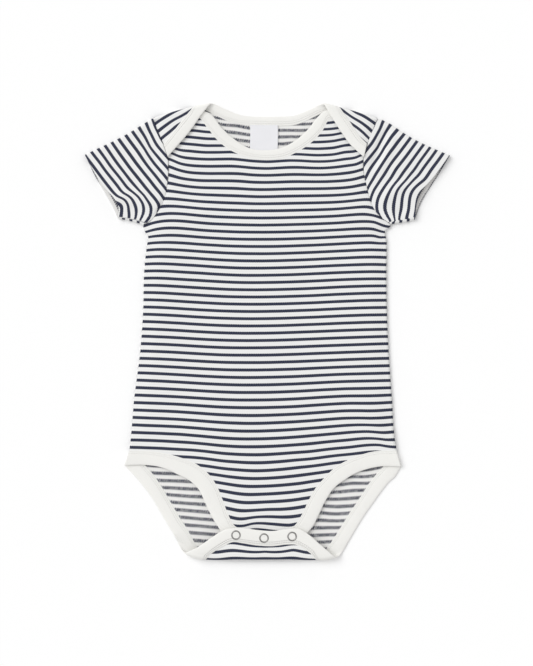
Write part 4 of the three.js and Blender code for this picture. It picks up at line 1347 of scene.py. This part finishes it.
# %% Sleeve surface
class Sleeve:
    """A pressed tube. Its rings run from the armhole (v = 0) to the hem (v = 1), and each ring is a loop:
    front layer, underarm fold, back layer, top fold."""

    def __init__(self, spec, edge):
        self.spec, self.edge = spec, edge
        self.v = np.linspace(0, 1, RINGS)
        self.upper, self.under = spline(spec["upper"], self.v), spline(spec["under"], self.v)
        self.upper[0] = edge(np.array([SLEEVE_TOP]))[0], SLEEVE_TOP
        self.under[0] = edge(np.array([SLEEVE_LOW]))[0], SLEEVE_LOW
        self.length = np.linalg.norm(self.upper - self.under, axis=1)[:, None]
        self.turn = np.linspace(0, 1, TURN_STEPS + 2)[1:-1]

    def layer(self, hem, u):
        """Points at shares u of the way from the top fold to the underarm: straight between the two, plus
        the armhole's own curve fading out towards the hem, plus the hem's own curve fading in."""
        y = lerp(SLEEVE_TOP, SLEEVE_LOW, u)
        arm = np.dstack([self.edge(y), y])
        hem_line = spline(self.spec[hem], u.ravel()).reshape(*u.shape, 2)
        h0, h1 = np.array(self.spec[hem][0], float), np.array(self.spec[hem][-1], float)
        w, v = u[..., None], self.v[:, None, None]
        base = lerp(self.upper[:, None], self.under[:, None], w)
        arm_own, hem_own = arm - lerp(self.upper[0], self.under[0], w), hem_line - lerp(h0, h1, w)
        return base + (1 - v) * arm_own + v * hem_own

    def fold(self, angle, centre, rim):
        """Points round a fold: a half circle of radius rim about its centre, on the front layer's outline
        while it is above the middle and on the back layer's below."""
        u = np.clip(centre + rim * np.cos(angle)[None] / self.length, 0, 1)
        above = (np.sin(angle) > 0)[None, :, None]
        return np.where(above, self.layer("hem_front", u), self.layer("hem_back", u))

    def relief(self, x, y):
        """Height added to the front layer: the buckle, a bell round its crease that starts past the armhole,
        plus the soft creases, both fading at the folds, less the dip at the armhole seam."""
        away = np.full(x.shape, 1e9)
        for (x1, y1), (x2, y2) in zip(self.spec["crease"], self.spec["crease"][1:]):
            away = np.minimum(away, to_segment(x, y, x1, y1, x2, y2)[0])
        run = np.linspace(0, 1, FRONT_STEPS)
        fade = smooth(run / 0.1) * smooth((1 - run) / 0.1)
        buckle = BUCKLE_HIGH * np.exp(-((away / BUCKLE_WIDE) ** 2)) * smooth(self.v / 0.12)[:, None]
        dip = seam_dip(x, y, 0.6) * (1 - smooth((y - 128) / 15))
        return fade[None] * (buckle + creases(self.spec["creases"], x, y)) - dip

    def wall(self, offset):
        """All rings at one side of the cloth, offset millimetres out from its middle."""
        rim = SLEEVE_BEND + offset
        reach = (SLEEVE_BEND + CLOTH / 2) / self.length
        low_a, top_a = math.pi / 2 - math.pi * self.turn, -math.pi / 2 - math.pi * self.turn
        front = self.layer("hem_front", lerp(reach, 1 - reach, np.linspace(0, 1, FRONT_STEPS)[None]))
        back = self.layer("hem_back", lerp(1 - reach, reach, np.linspace(0, 1, BACK_STEPS)[None]))
        xy = np.concatenate([front, self.fold(low_a, 1 - reach, rim), back, self.fold(top_a, reach, rim)], 1)
        middle = BACK_Z + SLEEVE_BEND
        flat_front, flat_back = np.full(FRONT_STEPS, rim), np.full(BACK_STEPS, -rim)
        z = middle + np.concatenate([flat_front, rim * np.sin(low_a), flat_back, rim * np.sin(top_a)])
        z = np.broadcast_to(z, xy.shape[:2]).copy()
        z[:, :FRONT_STEPS] += self.relief(front[..., 0], front[..., 1])
        return np.dstack([xy, z])

    def cloth(self, seen, counted):
        """Cloth numbers: along the hem's direction, and the stripe count. The front takes the count read from
        the photograph, the back its distance from the hem over the repeat. At the underarm seam the count
        jumps, because the two edges sewn there don't match, and at the top fold it blends."""
        plain = np.linalg.norm(seen - seen[-1:], axis=-1) / SLEEVE_STRIPE + self.spec["start"]
        back = FRONT_STEPS + TURN_STEPS
        share = np.zeros(seen.shape[1])
        share[FRONT_STEPS:back] = 1
        share[back : back + BACK_STEPS] = smooth(np.linspace(1, 0, BACK_STEPS) / 0.4)
        run = (-self.spec["side"] * seen[..., 0] * HEM_ACROSS[1] - seen[..., 1] * HEM_ACROSS[0]) / STRIPE_MM
        return np.dstack([run, lerp(counted(seen), plain, share)])


# %% Sleeves
def sleeve_piece(name, node, spec, edge, counted):
    """A sleeve with an outer and an inner wall a shell's thickness apart: out along the one and back along
    the other, joined at armhole and hem. The inner wall shows the wrong side."""
    sleeve = Sleeve(spec, edge)
    outer, inner = sleeve.wall(SHELL / 2), sleeve.wall(-SHELL / 2)
    cloth = sleeve.cloth(outer[..., :2], counted)
    grid = np.concatenate([outer, inner[::-1], outer[:1]])
    coords = np.concatenate([cloth, cloth[::-1], cloth[:1]])
    made = piece(name, [grid], [right_side, wrong_side], [coords], ring=True, flip=spec["side"] < 0)
    index = np.zeros(len(made.data.polygons), np.int32)
    index[RINGS * outer.shape[1] : (2 * RINGS - 1) * outer.shape[1]] = 1
    made.data.polygons.foreach_set("material_index", index)
    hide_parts(node)
    print(name, grid.shape[0] * grid.shape[1], "points")


sleeve_piece("sleeve_left_jersey", "sleeve_left", SLEEVES["left"], left_edge, sleeve_left_count)
sleeve_piece("sleeve_right_jersey", "sleeve_right", SLEEVES["right"], right_edge, sleeve_right_count)

# %% [markdown]
# ## Neck label
# A plain ribbon tab is sewn under the back neck strip and hangs down inside the garment. It is a thin sheet
# with a soft wave, and its lower end slips behind the front neck strip.

# %% Neck label
LABEL = {"x": -2.2, "top": 180.7, "width": 24.5, "length": 22.0, "sewn in": 1.5, "thick": 0.4}
s, t = np.meshgrid(np.linspace(0, 1, 40), np.linspace(0, 1, 30))
label_x = LABEL["x"] + (s - 0.5) * LABEL["width"] + 0.15 * np.sin(t * 5)
label_y = LABEL["top"] + LABEL["sewn in"] - t * (LABEL["length"] + LABEL["sewn in"])
bowed = 0.35 + 0.30 * np.sin(s * 5.2 + 0.6) * t
label_z = CLOTH + SEAM + lerp(bowed, 0.3, smooth((t - 0.55) / 0.3))
label = piece(
    "neck_ribbon",
    [np.dstack([label_x, label_y, label_z])],
    plain_ribbon,
    [np.dstack([s * LABEL["width"], t * LABEL["length"]])],
    flip=True,
)
thicken(label, LABEL["thick"])
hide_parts("neck_label")
print("label", LABEL["width"], "mm wide,", LABEL["length"], "mm of it below the strip")

# %% [markdown]
# ## Ring snaps
# Outside, a ring snap is only a bright ring pressed through the cloth. A flattened ring is turned from a
# short profile. The parts between the layers are the solid model's own, with the metal finish.

# %% Ring snaps
SNAPS = [(-26.7, -176.3), (-2.2, -178.9), (22.3, -177.5)]
SNAP_R, SNAP_Z = 4.2, 8.75  # radius, and height of the ring's middle
RING_IN, RING_WIDE, RING_HIGH = 0.62, 0.6, 0.42  # middle of its metal in from the rim, half width and height
RING_SIDES, RING_STEPS = 16, 73  # points of the profile, and steps round


def turned_ring(name, node, x, y, z):
    """A ring: an oval profile, wider than high, carried round a circle."""
    a = np.linspace(0, 2 * math.pi, RING_SIDES, endpoint=False)
    b = np.linspace(0, 2 * math.pi, RING_STEPS)[:, None]
    r = SNAP_R - RING_IN + RING_WIDE * np.cos(a)
    h = RING_HIGH * np.sin(a)
    grid = np.stack(np.broadcast_arrays(x + r * np.cos(b), y + r * np.sin(b), z + h), -1)
    made = piece(name, [grid], bright_metal, ring=True, flip=True)
    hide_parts(node)


for k, (sx, sy) in enumerate(SNAPS):
    turned_ring(f"snap_ring_{k + 1}", f"snap_cap_ring_{k + 1}", sx, sy, SNAP_Z)
    for kind in ("snap_socket", "snap_stud", "snap_stud_ring"):
        node = bpy.data.objects[f"{kind}_{k + 1}"]
        for slot in node.material_slots:
            slot.material = bright_metal
print(len(SNAPS), "ring snaps,", 2 * SNAP_R, "mm wide")

# %% [markdown]
# ## Last update
# The dressed garment should fill the solid model's box and no more. The last line brings the scene up to
# date.

# %% Last update
bpy.context.view_layer.update()
